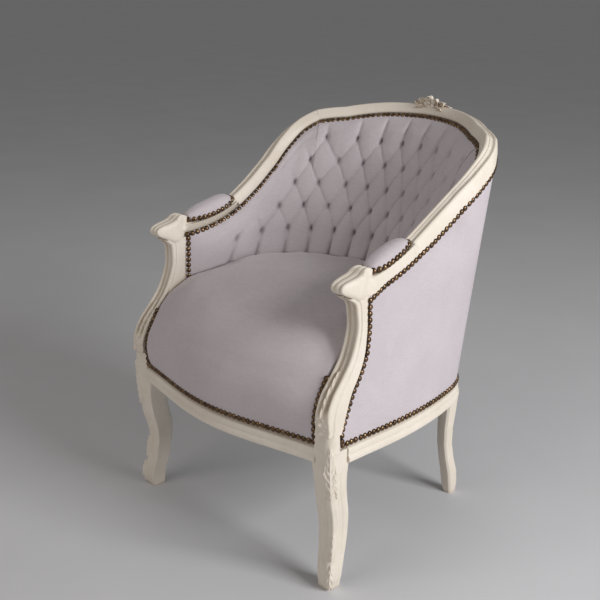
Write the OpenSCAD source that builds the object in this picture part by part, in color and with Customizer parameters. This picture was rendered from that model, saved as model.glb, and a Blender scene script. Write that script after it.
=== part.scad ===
// Tub armchair: a carved and painted beech frame with a horseshoe top rail,
// a diamond tufted inside back, a domed fixed seat and close nailed covers.
// The right half of the frame is drawn and mirrored for the left half.
// The origin is on the floor, under the middle of the chair, with the front towards -Y.

/* [Seat frame] */
// Half width outside the side rails
tub_half_w = 300; // [296:1:306]
// Depth from the front legs to the back of the seat frame
tub_depth = 459; // [450:1:470]
// Height of the underside of the seat rails
rail_z = 257; // [240:1:275]
// Height of a seat rail
rail_h = 62; // [56:1:68]
// Thickness of a seat rail
rail_t = 34; // [30:1:36]
// Height of the band of bare wood along the foot of a rail
rail_band = 28; // [24:1:32]
// Distance that the middle of the front rail bows forward
front_bow = 40; // [25:1:50]

/* [Legs] */
// Side of the square block at the top of a front leg
leg_block = 58; // [54:1:60]
// Side of a rear leg just under the rail
rear_leg_side = 36; // [32:1:40]

/* [Back and arms] */
// Height of the middle of the top rail at the crest
crest_z = 798; // [765:1:820]
// Height of the middle of the top rail at the arms
arm_z = 577; // [560:1:590]
// How far the arms' rails stand in from the sides of the seat frame
arm_lean = 33; // [30:1:36]
// How far the crest leans back over the back of the seat frame
back_lean = 99; // [92:1:104]
// Width of the moulding of the top rail
moulding_w = 36; // [33:1:39]
// Height of the moulding of the top rail
moulding_h = 23; // [20:1:26]
// Width of the tacking strip under the moulding
strip_w = 22; // [18:1:24]
// Depth of the tacking strip under the moulding
strip_h = 25; // [20:1:28]
// Radius of the scroll at the front of an arm
scroll_r = 22; // [20:0.5:24]
// Width of the scroll at the front of an arm
scroll_w = 40; // [38:1:42]

/* [Upholstery] */
// Height of the crown of the seat
seat_crown_z = 508; // [500:1:520]
// Height of the seat where it meets the back
seat_back_z = 490; // [480:1:496]
// Height of the front edge of the seat
seat_front_z = 428; // [418:1:436]
// Depth from the outside of the seat frame to the seat, at the padded sides
side_pad_t = 64; // [62:1:68]
// Depth from the outside of the seat frame to the seat, at the padded back
back_pad_t = 73; // [71:1:80]
// Thickness of a cloth cover
cloth_t = 2; // [1.5:0.1:2.5]
// Depth of a diamond between its tufts
tuft_puff = 14; // [8:1:18]
// Height of a row of tufts over the next
tuft_row_h = 47; // [44:1:48]
// Swell of the inside back between the seat and the top rail
pad_swell = 6; // [0:1:10]
// Height of an arm pad over its seat on the arm
arm_pad_h = 30; // [22:1:34]

/* [Hidden] */

// Clearance between soft parts and what they touch
gap = 0.3;
// Overrun of cutting solids
over = 20;
// Distance from the floor origin to the front feet, so the chair is centred
centre_shift = -260.8;
// How far the front edge of the frame stands before the front feet
front_edge_y = -25;
// Place of the front end of the side rails' curve
side_start_y = 14;
// Depth of the rebate that the covers lie in, and of the edge moulding
rebate = 6.5;
rake = 3;
edge_bead = 2.5;
bead_h = 12;
// Front end of the top rail's curve
rail_start_y = 21;
// Drop of the moulding's ledge under the rail's line
ledge_drop = 9;
// Height of the joint between an arm and its post
joint_drop = 21;
post_joint_z = arm_z - joint_drop;
// Place of the scroll
scroll_y = 36;
scroll_drop = 7;
scroll_z = arm_z - scroll_drop;
// Places along the horseshoe, counted in rows of the tables: crest at 0, arm scroll at 12
mitre_share = 4.2;
mitre_reach_share = 0.85;
arm_share = 9;
post_share = 11;
leg_start_share = 2.85;
leg_end_share = 3.65;

rail_colour = [0.87, 0.83, 0.75];
cloth_colour = [0.62, 0.58, 0.61];
outer_colour = [0.78, 0.76, 0.79];
lining_colour = [0.62, 0.52, 0.38];
wood_colour = [0.76, 0.62, 0.44];
dust_colour = [0.12, 0.12, 0.13];

// Distance that the mitred corners stand out past the smooth curve
mitre_out = 6;

// Middle of the top rail in plan and rise, as shares of half width, depth and rise
top_rail_shares = [
  [0, 1, 1], [0.217, 0.989, 0.995], [0.431, 0.955, 0.982], [0.64, 0.895, 0.946],
  [0.846, 0.809, 0.878], [0.97, 0.728, 0.774], [1, 0.637, 0.624], [0.981, 0.537, 0.448],
  [0.963, 0.441, 0.285], [0.959, 0.341, 0.14], [0.97, 0.232, 0.045], [1, 0.116, 0],
  [1.015, 0.016, 0.014]
];
// Outer face of the seat frame in plan at the same stations
frame_shares = [
  [0, 1], [0.22, 0.996], [0.42, 0.98], [0.613, 0.948], [0.787, 0.858], [0.873, 0.763],
  [0.927, 0.641], [0.967, 0.51], [0.99, 0.383], [1, 0.257], [1, 0.129], [1, 0]
];
// Foot of the inside back in plan at the same stations
inside_shares = [
  [0, 1], [0.174, 0.985], [0.352, 0.942], [0.508, 0.88], [0.669, 0.802], [0.775, 0.712],
  [0.869, 0.611], [0.941, 0.509], [0.983, 0.383], [0.992, 0.26], [1.01, 0.13], [1.07, 0]
];
// Where the inside of the back starts behind the arm posts
inside_start_y = 84;

function mirrored(p) = [for (i = [0:len(p) - 1]) i == 0 ? -p[i] : p[i]];

// Smooth curve through half a table of points, mirrored before its first point
function spline(p, t) = t < 0 ? mirrored(spline(p, -t)) :
  let (n = len(p) - 1, i = min(floor(t), n - 1), x = t - i,
       a = i == 0 ? mirrored(p[1]) : p[i - 1], b = p[i], c = p[i + 1], d = p[min(i + 2, n)])
  b + x / 2 * ((c - a) + x * ((2 * a - 5 * b + 4 * c - d) + x * (3 * b - a - 3 * c + d)));

function unit(v) = v / norm(v);
function slope(p, t) = unit(spline(p, t + 0.02) - spline(p, t - 0.02));
function outward(d) = unit([-d.y, d.x]);
function mix(a, b, k) = a + (b - a) * k;
function soft_step(x) = let (c = min(max(x, 0), 1)) c * c * (3 - 2 * c);

top_half_w = tub_half_w - arm_lean;
top_depth = side_start_y + tub_depth + back_lean - rail_start_y;
seat_half_w = tub_half_w - side_pad_t;
seat_depth = side_start_y + tub_depth - back_pad_t - inside_start_y;
top_path = [for (s = top_rail_shares) [
  s[0] * top_half_w, rail_start_y + s[1] * top_depth, arm_z + s[2] * (crest_z - arm_z)]];
frame_path = [for (s = frame_shares) [s[0] * tub_half_w, side_start_y + s[1] * tub_depth]];
inside_path = [for (s = inside_shares) [s[0] * seat_half_w, inside_start_y + s[1] * seat_depth]];

// Middle of the top rail, drawn out to a corner at each mitre
function rail_point(t) = t < 0 ? mirrored(rail_point(-t)) :
  let (k = max(1 - abs(t - mitre_share) / mitre_reach_share, 0))
  spline(top_path, t) + mitre_out * k * concat(outward(slope(top_path, t)), 0.5);

// A point beside the top rail: u outwards, v upwards, both square to the rail
// and turned so that v runs up the leaning wall
function at_top(t, u, v) =
  let (p = rail_point(t), d = unit(rail_point(t + 0.02) - rail_point(t - 0.02)), end = len(frame_path) - 1,
       foot = concat(spline(frame_path, max(min(t, end), -end)), rail_z + rail_band),
       w = p - foot, up = unit(w - (w * d) * d))
  p + u * cross(up, d) + v * up;

// A point beside the outer face of the seat frame at height z
function at_frame(t, u, z) = concat(spline(frame_path, t) + u * outward(slope(frame_path, t)), z);
function at_inside(t, u, z) = concat(spline(inside_path, t) + u * outward(slope(inside_path, t)), z);

// Place of the block of a front leg, and of the foot of the arm post on its outer part
leg_x = tub_half_w + edge_bead / 2 - leg_block / 2;
leg_y = 0;
leg_top_z = rail_z + rail_h;
post_foot_w = 45;
post_in_x = leg_x + leg_block / 2 - post_foot_w;

// Outer face of the front rail
function front_share(s) = (1 - s * s + (1 + cos(180 * s)) / 2) / 2;
front_half_w = leg_x - leg_block / 4;
function front_y(x) = front_edge_y - front_bow * front_share(min(abs(x) / front_half_w, 1));
function front_dir(x) = unit([1, (front_y(x + edge_bead) - front_y(x - edge_bead)) / (2 * edge_bead)]);
function at_front(x, u, z) = let (d = front_dir(x)) [x + u * d.y, front_y(x) - u * d.x, z];

// Faces between successive rings of m points
function wall_faces(n, m) = [
  for (i = [0:n - 2], j = [0:m - 1])
    let (a = i * m + j, b = i * m + (j + 1) % m)
    each [[a, b, b + m], [a, b + m, a + m]]
];

// Faces across one end ring, whose first nf points face the other m - nf
function strip_cap(first, m, nf) =
  let (nb = m - nf)
  [for (j = [0:nf - 2])
    let (p = floor(j * nb / nf), q = floor((j + 1) * nb / nf), f = first + j, b = first + m - 1)
    each q > p ? [[f, f + 1, b - p], [f + 1, b - q, b - p]] : [[f, f + 1, b - p]]];

function turned(faces) = [for (f = faces) [f[0], f[2], f[1]]];
function signed_volume(points, faces) =
  let (v = [for (f = faces) points[f[0]] * cross(points[f[1]], points[f[2]])])
  v * [for (i = v) 1];

module closed_mesh(points, faces) {
  polyhedron(points, signed_volume(points, faces) > 0 ? turned(faces) : faces);
}

// A solid swept through rings whose ends are closed as strips
module swept(rings, nf) {
  m = len(rings[0]);
  n = len(rings);
  closed_mesh([for (r = rings) each r], concat(
    wall_faces(n, m), turned(strip_cap(0, m, nf)), strip_cap((n - 1) * m, m, nf)));
}

function mean(p) = [for (i = [0:2]) ([for (q = p) q[i]] * [for (q = p) 1]) / len(p)];

// A solid of stacked round rings, closed by a fan at each end
module stacked(rings) {
  m = len(rings[0]);
  n = len(rings);
  closed_mesh(
    concat([for (r = rings) each r], [mean(rings[0]), mean(rings[n - 1])]),
    concat(
      wall_faces(n, m),
      [for (j = [0:m - 1]) [n * m, (j + 1) % m, j]],
      [for (j = [0:m - 1]) let (b = (n - 1) * m) [n * m + 1, b + j, b + (j + 1) % m]]));
}

module placed() {
  translate([0, centre_shift, 0]) children();
}
module left_side() {
  mirror([1, 0, 0]) children();
}

// Front legs

// Section of a front leg as shares of its half side, rounded at the outer corner
leg_section_shares = [
  [0.8, -0.8], [0.57, -0.95], [0.31, -1], [-0.2, -0.95], [-0.6, -1], [-0.9, -0.97],
  [-1, -0.8], [-1, 0.5], [-0.86, 0.86], [-0.5, 1], [0.8, 1], [0.97, 0.9],
  [1, 0.6], [0.95, 0.2], [1, -0.31], [0.95, -0.57]
];
// Height, half side and outward shift of a front leg, as shares of rail_z, block side and block side
front_leg_shares = [
  [0, 0.26, 0.045], [0.03, 0.29, 0.06], [0.09, 0.335, 0.085], [0.16, 0.345, 0.05],
  [0.245, 0.34, -0.035], [0.35, 0.35, -0.08], [0.45, 0.35, -0.125], [0.57, 0.395, -0.1],
  [0.675, 0.415, -0.03], [0.79, 0.415, 0.02], [0.89, 0.445, 0.025], [0.95, 0.48, 0.01], [1, 0.5, 0]
];
leg_curve_steps = 2;

function leg_ring(x, y, a, z) = [for (s = leg_section_shares) [x + a * s.x, y + a * s.y, z]];
front_leg_rings = concat(
  [for (i = [0:leg_curve_steps * (len(front_leg_shares) - 1)])
    let (s = i == 0 ? [for (k = [1, 2, 0]) front_leg_shares[0][k]]
           : spline([for (r = front_leg_shares) [r[1], r[2], r[0]]], i / leg_curve_steps),
         shift = s[1] * leg_block)
    leg_ring(leg_x + shift, leg_y - shift, s[0] * leg_block, s[2] * rail_z)],
  [leg_ring(leg_x, leg_y, leg_block / 2, leg_top_z)]);

module front_leg_right() {
  color(rail_colour) placed() difference() {
    swept(front_leg_rings, 8);
    translate([tub_half_w - rebate - edge_bead, post_front_y + post_shares[0][2] * post_reach, rail_z + rail_band])
      cube([over, leg_block, rail_h]);
    translate([post_in_x - over, leg_y - leg_block / 2 - over, rail_z + rail_band])
      cube([over, over + rebate + bead_h / 4, rail_h]);
  }
}
module front_leg_left() {
  left_side() front_leg_right();
}
module leg_block_cut() {
  translate([leg_x - leg_block / 2, leg_y - leg_block / 2, rail_z - over])
    cube([leg_block + over, leg_block, rail_h + 2 * over]);
}

// Rear legs, which run on up as stiles to the crest rail

square_section_shares = [
  [1, -0.7], [0.7, -1], [-0.7, -1], [-1, -0.7], [-1, 0.7], [-0.7, 1], [0.7, 1], [1, 0.7]
];
// Height, half side and outward shift of a rear leg, as shares of rail_z and rear_leg_side
rear_leg_shares = [
  [0, 0.28, -0.05], [0.08, 0.37, -0.07], [0.2, 0.4, -0.12], [0.32, 0.37, -0.24],
  [0.45, 0.36, -0.33], [0.6, 0.38, -0.34], [0.78, 0.43, -0.28], [0.9, 0.47, -0.26]
];
leg_mid_share = (leg_start_share + leg_end_share) / 2;
stile_top_share = 3.5;
stile_half_share = 0.2;
stile_steps = 4;
// Place of a rear foot as shares of tub_half_w and tub_depth
rear_foot_shares = [0.67, 0.97];
rear_leg_x = rear_foot_shares.x * tub_half_w;
rear_leg_y = rear_foot_shares.y * tub_depth;
stile_drop = ledge_drop + strip_h + gap;
stile_inner = 34;
stile_outer = 13;
stile_top_in = 5;
stile_top_out = 8;

function foot_ring(s) = [for (q = square_section_shares)
  let (a = s[1] * rear_leg_side, d = s[2] * rear_leg_side)
  [rear_leg_x + d + a * q.x, rear_leg_y + d + a * q.y, s[0] * rail_z]];
// The block between the rails is square to the frame's curve there
function block_ring(z, u0, u1) = [for (q = square_section_shares)
  let (k = (q.x * 0.7071 - q.y * 0.7071) / 1.2, w = (q.x * 0.7071 + q.y * 0.7071) / 1.2,
       t = leg_mid_share + min(max(k, -1), 1) * (leg_end_share - leg_start_share) / 2)
  at_frame(t, mix(u0, u1, (min(max(w, -1), 1) + 1) / 2), z)];
function stile_ring(k) =
  let (low = block_ring(leg_top_z + gap, -stile_inner, -stile_outer),
       high = [for (q = square_section_shares)
         let (a = (q.x - q.y) * 0.7071 / 1.2, w = (q.x + q.y) * 0.7071 / 1.2)
         at_top(stile_top_share + min(max(a, -1), 1) * stile_half_share,
                mix(-stile_top_in, stile_top_out, (min(max(w, -1), 1) + 1) / 2), -stile_drop)])
  [for (i = [0:len(low) - 1]) mix(low[i], high[i], k)];

module rear_leg_right() {
  color(rail_colour) placed() stacked(concat(
    [for (s = rear_leg_shares) foot_ring(s)],
    [block_ring(rail_z, -rail_t, 0), block_ring(rail_z + rail_band, -rail_t, 0),
     block_ring(rail_z + rail_band + edge_bead, -rail_t, -rebate - rake / 2),
     block_ring(leg_top_z, -rail_t, -rebate - 2 * rake)],
    [for (i = [0:stile_steps]) stile_ring(i / stile_steps)]));
}
module rear_leg_left() {
  left_side() rear_leg_right();
}

// Seat rails

// Section of a seat rail: distance outwards and height
rail_section = [
  [0, 0], [edge_bead, bead_h * 0.25], [edge_bead, bead_h * 0.7], [0, bead_h],
  [0, rail_band], [-rebate, rail_band + edge_bead], [-rebate - rake, rail_h],
  [-rail_t, rail_h], [-rail_t, 0]
];
front_steps = 16;
rail_step = 0.5;

module front_rail() {
  reach = front_half_w;
  color(rail_colour) placed() difference() {
    swept([for (i = [-front_steps:2:front_steps])
      [for (p = rail_section) at_front(reach * i / front_steps, p.x, rail_z + p.y)]], 7);
    leg_block_cut();
    mirror([1, 0, 0]) leg_block_cut();
  }
}
module side_rail_solid() {
  steps = ceil((post_share - leg_end_share) / rail_step);
  swept([for (i = [0:steps])
    [for (p = rail_section) at_frame(leg_end_share + i * (post_share - leg_end_share) / steps, p.x, rail_z + p.y)]], 7);
}
module side_rail_right() {
  color(rail_colour) placed() difference() {
    side_rail_solid();
    leg_block_cut();
  }
}
module side_rail_left() {
  left_side() side_rail_right();
}
module rear_rail() {
  steps = ceil(leg_start_share / rail_step);
  color(rail_colour) placed() swept([for (i = [-steps:steps])
    [for (p = rail_section) at_frame(i * leg_start_share / steps, p.x, rail_z + p.y)]], 7);
}

// Glued blocks in the corners of the seat frame

block_h = 40;
block_reach = 74;
block_end_share = 0.2;
module corner_block_front_right() {
  inner_x = leg_x - leg_block / 2 - gap;
  inner_y = leg_y + leg_block / 2 + gap;
  far_y = inner_y + block_reach;
  far_s = post_share - (far_y - side_start_y) / (spline(frame_path, post_share - 1).y - side_start_y);
  a = at_frame(post_share - block_end_share, -rail_t - gap, 0);
  b = at_frame(far_s, -rail_t - gap, 0);
  e = [for (i = [front_steps:-2:front_steps - 4]) at_front(front_half_w * i / front_steps, -rail_t - gap, 0)];
  c = mix(e[1], e[0], (inner_x - e[1].x) / (e[0].x - e[1].x));
  color(wood_colour) placed() translate([0, 0, rail_z + (rail_h - block_h) / 2])
    linear_extrude(block_h) polygon([
      [a.x, inner_y], [inner_x, inner_y], [inner_x, c.y], [e[1].x, e[1].y],
      [e[2].x, e[2].y], [b.x, b.y]]);
}
module corner_block_front_left() {
  left_side() corner_block_front_right();
}
rail_joints = [leg_start_share * (1 - 1 / ceil(leg_start_share / rail_step)), leg_start_share, leg_end_share,
               leg_end_share + (post_share - leg_end_share) / ceil((post_share - leg_end_share) / rail_step)];
module corner_block_rear_right() {
  p = [for (t = rail_joints) at_frame(t, -rail_t - gap, 0)];
  color(wood_colour) placed() translate([0, 0, rail_z + (rail_h - block_h) / 2])
    linear_extrude(block_h) polygon([for (q = p) [q.x, q.y]]);
}
module corner_block_rear_left() {
  left_side() corner_block_rear_right();
}

// Arm posts

// Height of an arm post, and where its front, the edge of its cover and its rear stand
post_reach = 128;
post_shares = [
  [0, 0, 0.22, 0.4], [0.15, 0, 0.34, 0.51], [0.287, 0.114, 0.464, 0.615], [0.413, 0.311, 0.626, 0.783],
  [0.548, 0.498, 0.744, 0.892], [0.734, 0.63, 0.803, 0.961], [0.878, 0.635, 0.813, 0.97],
  [1, 0.6, 0.833, 0.99]
];
post_front_y = -29;
post_top_w = 36;
// Section of a post in front of its cover, as shares of its half width and of its front part
post_section_shares = [
  [1, 0], [1, -0.52], [0.84, -0.66], [0.88, -0.88], [0.6, -1], [0.34, -0.86], [0, -0.8],
  [-0.34, -0.86], [-0.6, -1], [-0.88, -0.88], [-0.84, -0.66], [-1, -0.52]
];
post_steps = 2;
inner_edge_y = inside_start_y - gap;

function post_row(k) =
  let (s = k <= 0 ? post_shares[0] : spline([for (r = post_shares) [r[1], r[2], r[0], r[3]]], k))
  k <= 0 ? [s[0], s[1], s[2], s[3]] : [s[2], s[0], s[1], s[3]];
function post_ring(k) =
  let (s = post_row(k), in = mix(post_in_x, top_half_w - post_top_w / 2, pow(s[0], 3)),
       out = mix(leg_x + leg_block / 2, top_half_w + post_top_w / 2, s[0]), w = (out - in) / 2, x = (out + in) / 2,
       f = post_front_y + s[1] * post_reach, e = post_front_y + s[2] * post_reach,
       r = post_front_y + s[3] * post_reach, i = min(r - gap, inner_edge_y), z = mix(leg_top_z, post_joint_z, s[0]))
  concat(
    [for (q = post_section_shares) [x + q.x * w, e + q.y * (e - f), z]],
    [[x - w, i, z], [x - w + rebate, i + gap / 2, z], [x - w + rebate, r, z],
     [x + w - rebate - edge_bead - gap, r, z], [x + w - rebate - edge_bead - gap, e + gap / 2, z]]);
module arm_post_right() {
  color(rail_colour) placed() stacked(
    [for (i = [0:post_steps * (len(post_shares) - 1)]) post_ring(i / post_steps)]);
}
module arm_post_left() {
  left_side() arm_post_right();
}

// Top rail: crest, two side rails and two arms

// The moulding as shares of its width and height, from its inner ledge over to its outer ledge
moulding_shares = [
  [-0.44, 0], [-0.5, 0.24], [-0.46, 0.64], [-0.31, 0.94], [-0.13, 1],
  [0.05, 0.88], [0.16, 0.72], [0.29, 0.84], [0.43, 0.74], [0.5, 0.3], [0.44, 0]
];
pad_seat_h = 17;
crest_step = 0.35;
top_step = 0.4;

function top_section(limit) = concat(
  [[-strip_w / 2, -ledge_drop - strip_h], [-strip_w / 2, -ledge_drop]],
  [for (s = moulding_shares) [s.x * moulding_w, -ledge_drop + min(s.y * moulding_h, limit)]],
  [[strip_w / 2, -ledge_drop], [strip_w / 2, -ledge_drop - strip_h]]);
function top_rings(s0, s1, step) =
  let (n = ceil(abs(s1 - s0) / step))
  [for (i = [0:n]) top_ring(mix(s0, s1, i / n), moulding_h)];
function top_ring(s, limit) = [for (p = top_section(limit)) at_top(s, p.x, p.y)];

module crest_rail() {
  color(rail_colour) placed() swept(top_rings(-mitre_share, mitre_share, crest_step), 8);
}
module top_rail_right() {
  color(rail_colour) placed() swept(top_rings(mitre_share, arm_share, top_step), 8);
}
module top_rail_left() {
  left_side() top_rail_right();
}
pad_end_share = 11.1;
scroll_end_share = 11.8;
eye_r = 7;
eye_h = 2;
// The scroll's hollow between its beads, and its middle bead, as shares of its radius
scroll_hollow_share = 0.82;
scroll_rib_share = 0.95;
scroll_bead_w = 9;
arm_rings = concat(
  [for (i = [0:5]) top_ring(mix(arm_share, pad_end_share, i / 5), pad_seat_h)],
  [for (i = [0:3]) top_ring(mix(pad_end_share + 0.05, scroll_end_share, i / 3), moulding_h)]);
module scroll_disc(w, r, x = 0) {
  translate([top_half_w + x - w / 2, scroll_y, scroll_z]) rotate([0, 90, 0]) cylinder(h = w, r = r);
}
module arm_right() {
  color(rail_colour) placed() difference() {
    union() {
      swept(arm_rings, 8);
      scroll_disc(scroll_w - scroll_bead_w, scroll_r * scroll_hollow_share);
      scroll_disc(scroll_bead_w * 2 / 3, scroll_r * scroll_rib_share);
      scroll_disc(scroll_bead_w, scroll_r, (scroll_bead_w - scroll_w) / 2);
      scroll_disc(scroll_bead_w, scroll_r, (scroll_w - scroll_bead_w) / 2);
      scroll_disc(scroll_w + 2 * eye_h, eye_r);
    }
    translate([top_half_w - scroll_w, -over, post_joint_z - 2 * over])
      cube([2 * scroll_w, over + post_front_y + post_reach + gap, 2 * over]);
  }
}
module arm_left() {
  left_side() arm_right();
}

// Carved shell on the crest

shell_lobe_n = 5;
shell_r = 27;
shell_spread = 80;
shell_share = 0.5;
shell_lift = 8;
lobe_w = 15;
lobe_depth = 16;
module lobe(angle, length) {
  translate([0, top_path[0].y, crest_z + shell_lift]) rotate([0, angle, 0]) stacked([for (k = [0:6])
    let (f = k / 6, w = sin(180 * pow(f, 0.8)) * 0.5 + 0.04)
    [for (a = [0:45:315]) [w * lobe_w * cos(a), w * lobe_depth * sin(a), length * f]]]);
}
module crest_carving() {
  color(rail_colour) placed() difference() {
    union() {
      for (i = [0:shell_lobe_n - 1])
        let (a = shell_spread * (2 * i / (shell_lobe_n - 1) - 1)) lobe(a, shell_r * (1 + shell_share * abs(sin(a))));
    }
    swept(top_rings(-mitre_share, mitre_share, crest_step), 8);
  }
}

// Tacking rails inside the padded wall

tack_lift = 26;
tack_z = leg_top_z + tack_lift;
tack_h = 38;
tack_outer = 18;
tack_t = 18;
tack_end_share = 10.3;
seam_share = 0.04;
module tack_rail(s0, s1) {
  n = ceil((s1 - s0) / rail_step);
  color(wood_colour) placed() swept([for (i = [0:n])
    [for (p = [[-tack_outer - tack_t, 0], [-tack_outer - tack_t, tack_h], [-tack_outer, tack_h],
               [-tack_outer, 0]])
      at_frame(mix(s0, s1, i / n), p.x, tack_z + p.y)]], 2);
}
module tacking_rail_right() {
  tack_rail(leg_end_share + seam_share / 8, tack_end_share);
}
module tacking_rail_left() {
  left_side() tacking_rail_right();
}
module tacking_rail_back() {
  tack_rail(-leg_start_share + seam_share / 3, leg_start_share - seam_share / 3);
}

// Seat upholstery

web_w = 50;
web_t = 1.6;
web_n = 5;
web_z = leg_top_z + 0.1;
web_pitch = 70;
web_end = 17;
web_curve_share = 0.15;
module webbing_lengthways() {
  color(lining_colour) placed() for (i = [0:web_n - 1]) {
    x = (i - (web_n - 1) / 2) * web_pitch;
    y0 = front_y(x) + web_end;
    y1 = side_start_y + tub_depth * (1 - web_curve_share * pow(x / tub_half_w, 2)) - web_end;
    translate([x - web_w / 2, y0, web_z]) cube([web_w, y1 - y0, web_t]);
  }
}
module webbing_crossways() {
  color(lining_colour) placed() for (i = [0:web_n - 1]) {
    p = spline(frame_path, 10 - i);
    x = p.x - web_end;
    translate([-x, p.y - web_w / 2, web_z + web_t + gap]) cube([2 * x, web_w, web_t]);
  }
}

hessian_t = 1;
hessian_z = web_z + 2 * web_t + 2 * gap;
hessian_inset = 14;
notch_share = 0.12;
notch_u = 36;
module stile_notch() {
  p = [for (t = [leg_start_share - notch_share, leg_end_share + notch_share]) each [at_frame(t, 0, 0), at_frame(t, -notch_u, 0)]];
  polygon([for (i = [0, 1, 3, 2]) [p[i].x, p[i].y]]);
}
module seat_hessian() {
  half = leg_x - leg_block / 2 - hessian_inset;
  color(lining_colour) placed() translate([0, 0, hessian_z]) linear_extrude(hessian_t) difference() {
    polygon(concat(
      [[-half, leg_y + leg_block / 2 + gap]],
      [for (i = [-4:4]) let (p = at_front(i / 4 * half, -hessian_inset, 0)) [p.x, p.y]],
      [[half, leg_y + leg_block / 2 + gap]],
      [for (i = [0:22]) let (s = 10 - i * 20 / 22, p = at_frame(s, -hessian_inset - rebate, 0)) [p.x, p.y]]));
    stile_notch();
    mirror([1, 0]) stile_notch();
  }
}

// Outline of the seat: front edge, past the posts, then along the inside of the tub
front_corner_x = post_in_x - 6 * gap;
skirt_inset = rebate - 3 * gap - cloth_t;
corner_step = 1;
seat_half_outline = concat(
  [for (i = [0:7]) let (x = front_corner_x * sin(90 * i / 7)) [x, front_y(x) + skirt_inset]],
  [[front_corner_x, front_y(front_corner_x) + skirt_inset + corner_step],
   [front_corner_x, inside_start_y / 40], [front_corner_x, inside_start_y / 4],
   [front_corner_x, inside_start_y / 2]],
  [for (t = [post_share:-0.5:0.5]) spline(inside_path, t) - gap * outward(slope(inside_path, t))]);
seat_outline = concat(
  seat_half_outline,
  [[0, inside_path[0].y - gap]],
  [for (i = [len(seat_half_outline) - 1:-1:1]) mirrored(seat_half_outline[i])]);
seat_centre = [0, (inside_path[0].y + front_edge_y) / 2];
seat_low_z = hessian_z + hessian_t + gap;
skirt_z = rail_z + rail_band + 2 * edge_bead;
front_roll = 82;
side_roll = 15;
roll_reach = 135;
side_drop = 18;
seat_crest_y = 250;
front_fall_share = 2.2;

// Height of the domed seat, highest at seat_crest_y and falling to the front, sides and back
function seat_top(p) =
  let (y0 = front_edge_y - front_bow, k = min(max((p.y - y0) / (seat_crest_y - y0), 0), 1),
       b = max((p.y - seat_crest_y) / (inside_path[0].y - seat_crest_y), 0), a = p.x / seat_half_w)
  mix(seat_front_z, seat_crown_z, 1 - pow(1 - k, front_fall_share))
  - (seat_crown_z - seat_back_z) * b * b - side_drop * a * a;
function edge_roll(p) = mix(front_roll, side_roll, soft_step((p.y - front_edge_y) / roll_reach));
function skirt_low(p) = p.y > front_y(front_corner_x) + skirt_inset + corner_step / 2 ? seat_low_z : skirt_z;

// Share of the edge roll, then share of the way from the roll to the centre, of each ring
roll_shares = [0, 0, 0.14, 0.45, 1];
dome_shares = [0.3, 0.55, 0.8, 0.96];
seat_levels = len(roll_shares) + len(dome_shares) - 1;

function seat_point(p, k, inset) =
  let (d = p - seat_centre, far = norm(d), r = edge_roll(p), n = len(roll_shares),
       roll = k < n ? roll_shares[k] : 1,
       q = seat_centre + d * (1 - (k < n ? mix(inset, r, roll) : mix(r, far, dome_shares[k - n])) / far))
  k == 0 ? concat(q, skirt_low(p)) : concat(q, seat_top(q) - r * (1 - sqrt(1 - pow(1 - roll, 2))));
function lowered(p, d) = [p.x, p.y, p.z - d];

module seat_cover() {
  outer = [for (k = [0:seat_levels]) [for (p = seat_outline) seat_point(p, k, 0)]];
  inner = [for (k = [seat_levels:-1:0]) [for (p = seat_outline)
    lowered(seat_point(p, k, cloth_t), k < 2 ? 0 : cloth_t)]];
  color(cloth_colour) placed() stacked(concat(inner, outer));
}
module seat_pad() {
  inset = cloth_t + 4 * gap;
  color("wheat") placed() stacked(concat(
    [[for (p = seat_outline) let (q = seat_point(p, 1, inset)) [q.x, q.y, seat_low_z]]],
    [for (k = [1:seat_levels]) [for (p = seat_outline)
      lowered(seat_point(p, k, inset), k < 2 ? 0 : inset)]]));
}

// Tufted inside back

pad_lift = 17;
pad_low_z = leg_top_z + pad_lift;
pad_rear = 42;
// The face starts this far under the seat's edge, and the lattice this far over its start
face_start = 4;
lattice_start = 7;
tuft_row_n = 5;
face_steps = 12;
squeeze = 1.5;
face_drop = 10;
pad_lip = 3.2;
top_in = strip_w / 2 + 1.2;
// The pad's rear draws in from this station to end in the rebate of the post
pad_turn_share = 9;
pad_end_in = 9;
tuft_col_n = 8;
// Places of the columns of tufts, as shares of the way from the middle of the back to the posts
tuft_place_shares = [0, 0.0975, 0.195, 0.293, 0.4, 0.545, 0.714, 0.864, 1];
col_steps = 4;
crease_share = 0.5;
tuft_fade_share = 0.9;

// Station of place k of the tufts along the horseshoe: closer at the back than at the sides
tuft_path = [for (i = [0:tuft_col_n]) [tuft_place_shares[i] * post_share]];
function lattice_s(k) = abs(k) >= tuft_col_n ? sign(k) * post_share : spline(tuft_path, k)[0];
function meet_z(s) = let (p = spline(inside_path, s)) seat_top(p) - face_start;

// Depth at lattice place k, row r and distance h under the top edge:
// nothing at a tuft, part way along the creases, full in the middle of a diamond
function tuft_depth(k, r, h) =
  let (c = min(max(r, 1), tuft_row_n), p = k + c / 2, q = k - c / 2, end = (tuft_col_n - abs(k)) / tuft_fade_share,
       f = pow(abs(sin(180 * p) * sin(180 * q)), 0.4), g = 1 - pow(cos(180 * p) * cos(180 * q), 4))
  tuft_puff * mix(g, f, crease_share) * soft_step(h / tuft_row_h) * soft_step(end);
function face_point(k, j) =
  let (s = lattice_s(k), z0 = meet_z(s), foot = at_inside(s, 0, z0),
       head = at_top(s, -top_in - pad_lip, -face_drop), high = head.z - z0,
       z = j > face_steps ? high
         : min(j == 0 ? 0 : lattice_start + j * tuft_row_h / 2, high - (face_steps + 1 - j) * squeeze),
       r = (z - lattice_start) / tuft_row_h,
       d = j == 0 || j > face_steps ? 0 : tuft_depth(k, r, high - z)
         + pad_swell * sin(180 * z / high) * soft_step((tuft_col_n - abs(k)) / tuft_fade_share))
  mix(foot, head, z / high) - concat(outward(slope(inside_path, s)), 0) * d;
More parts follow.
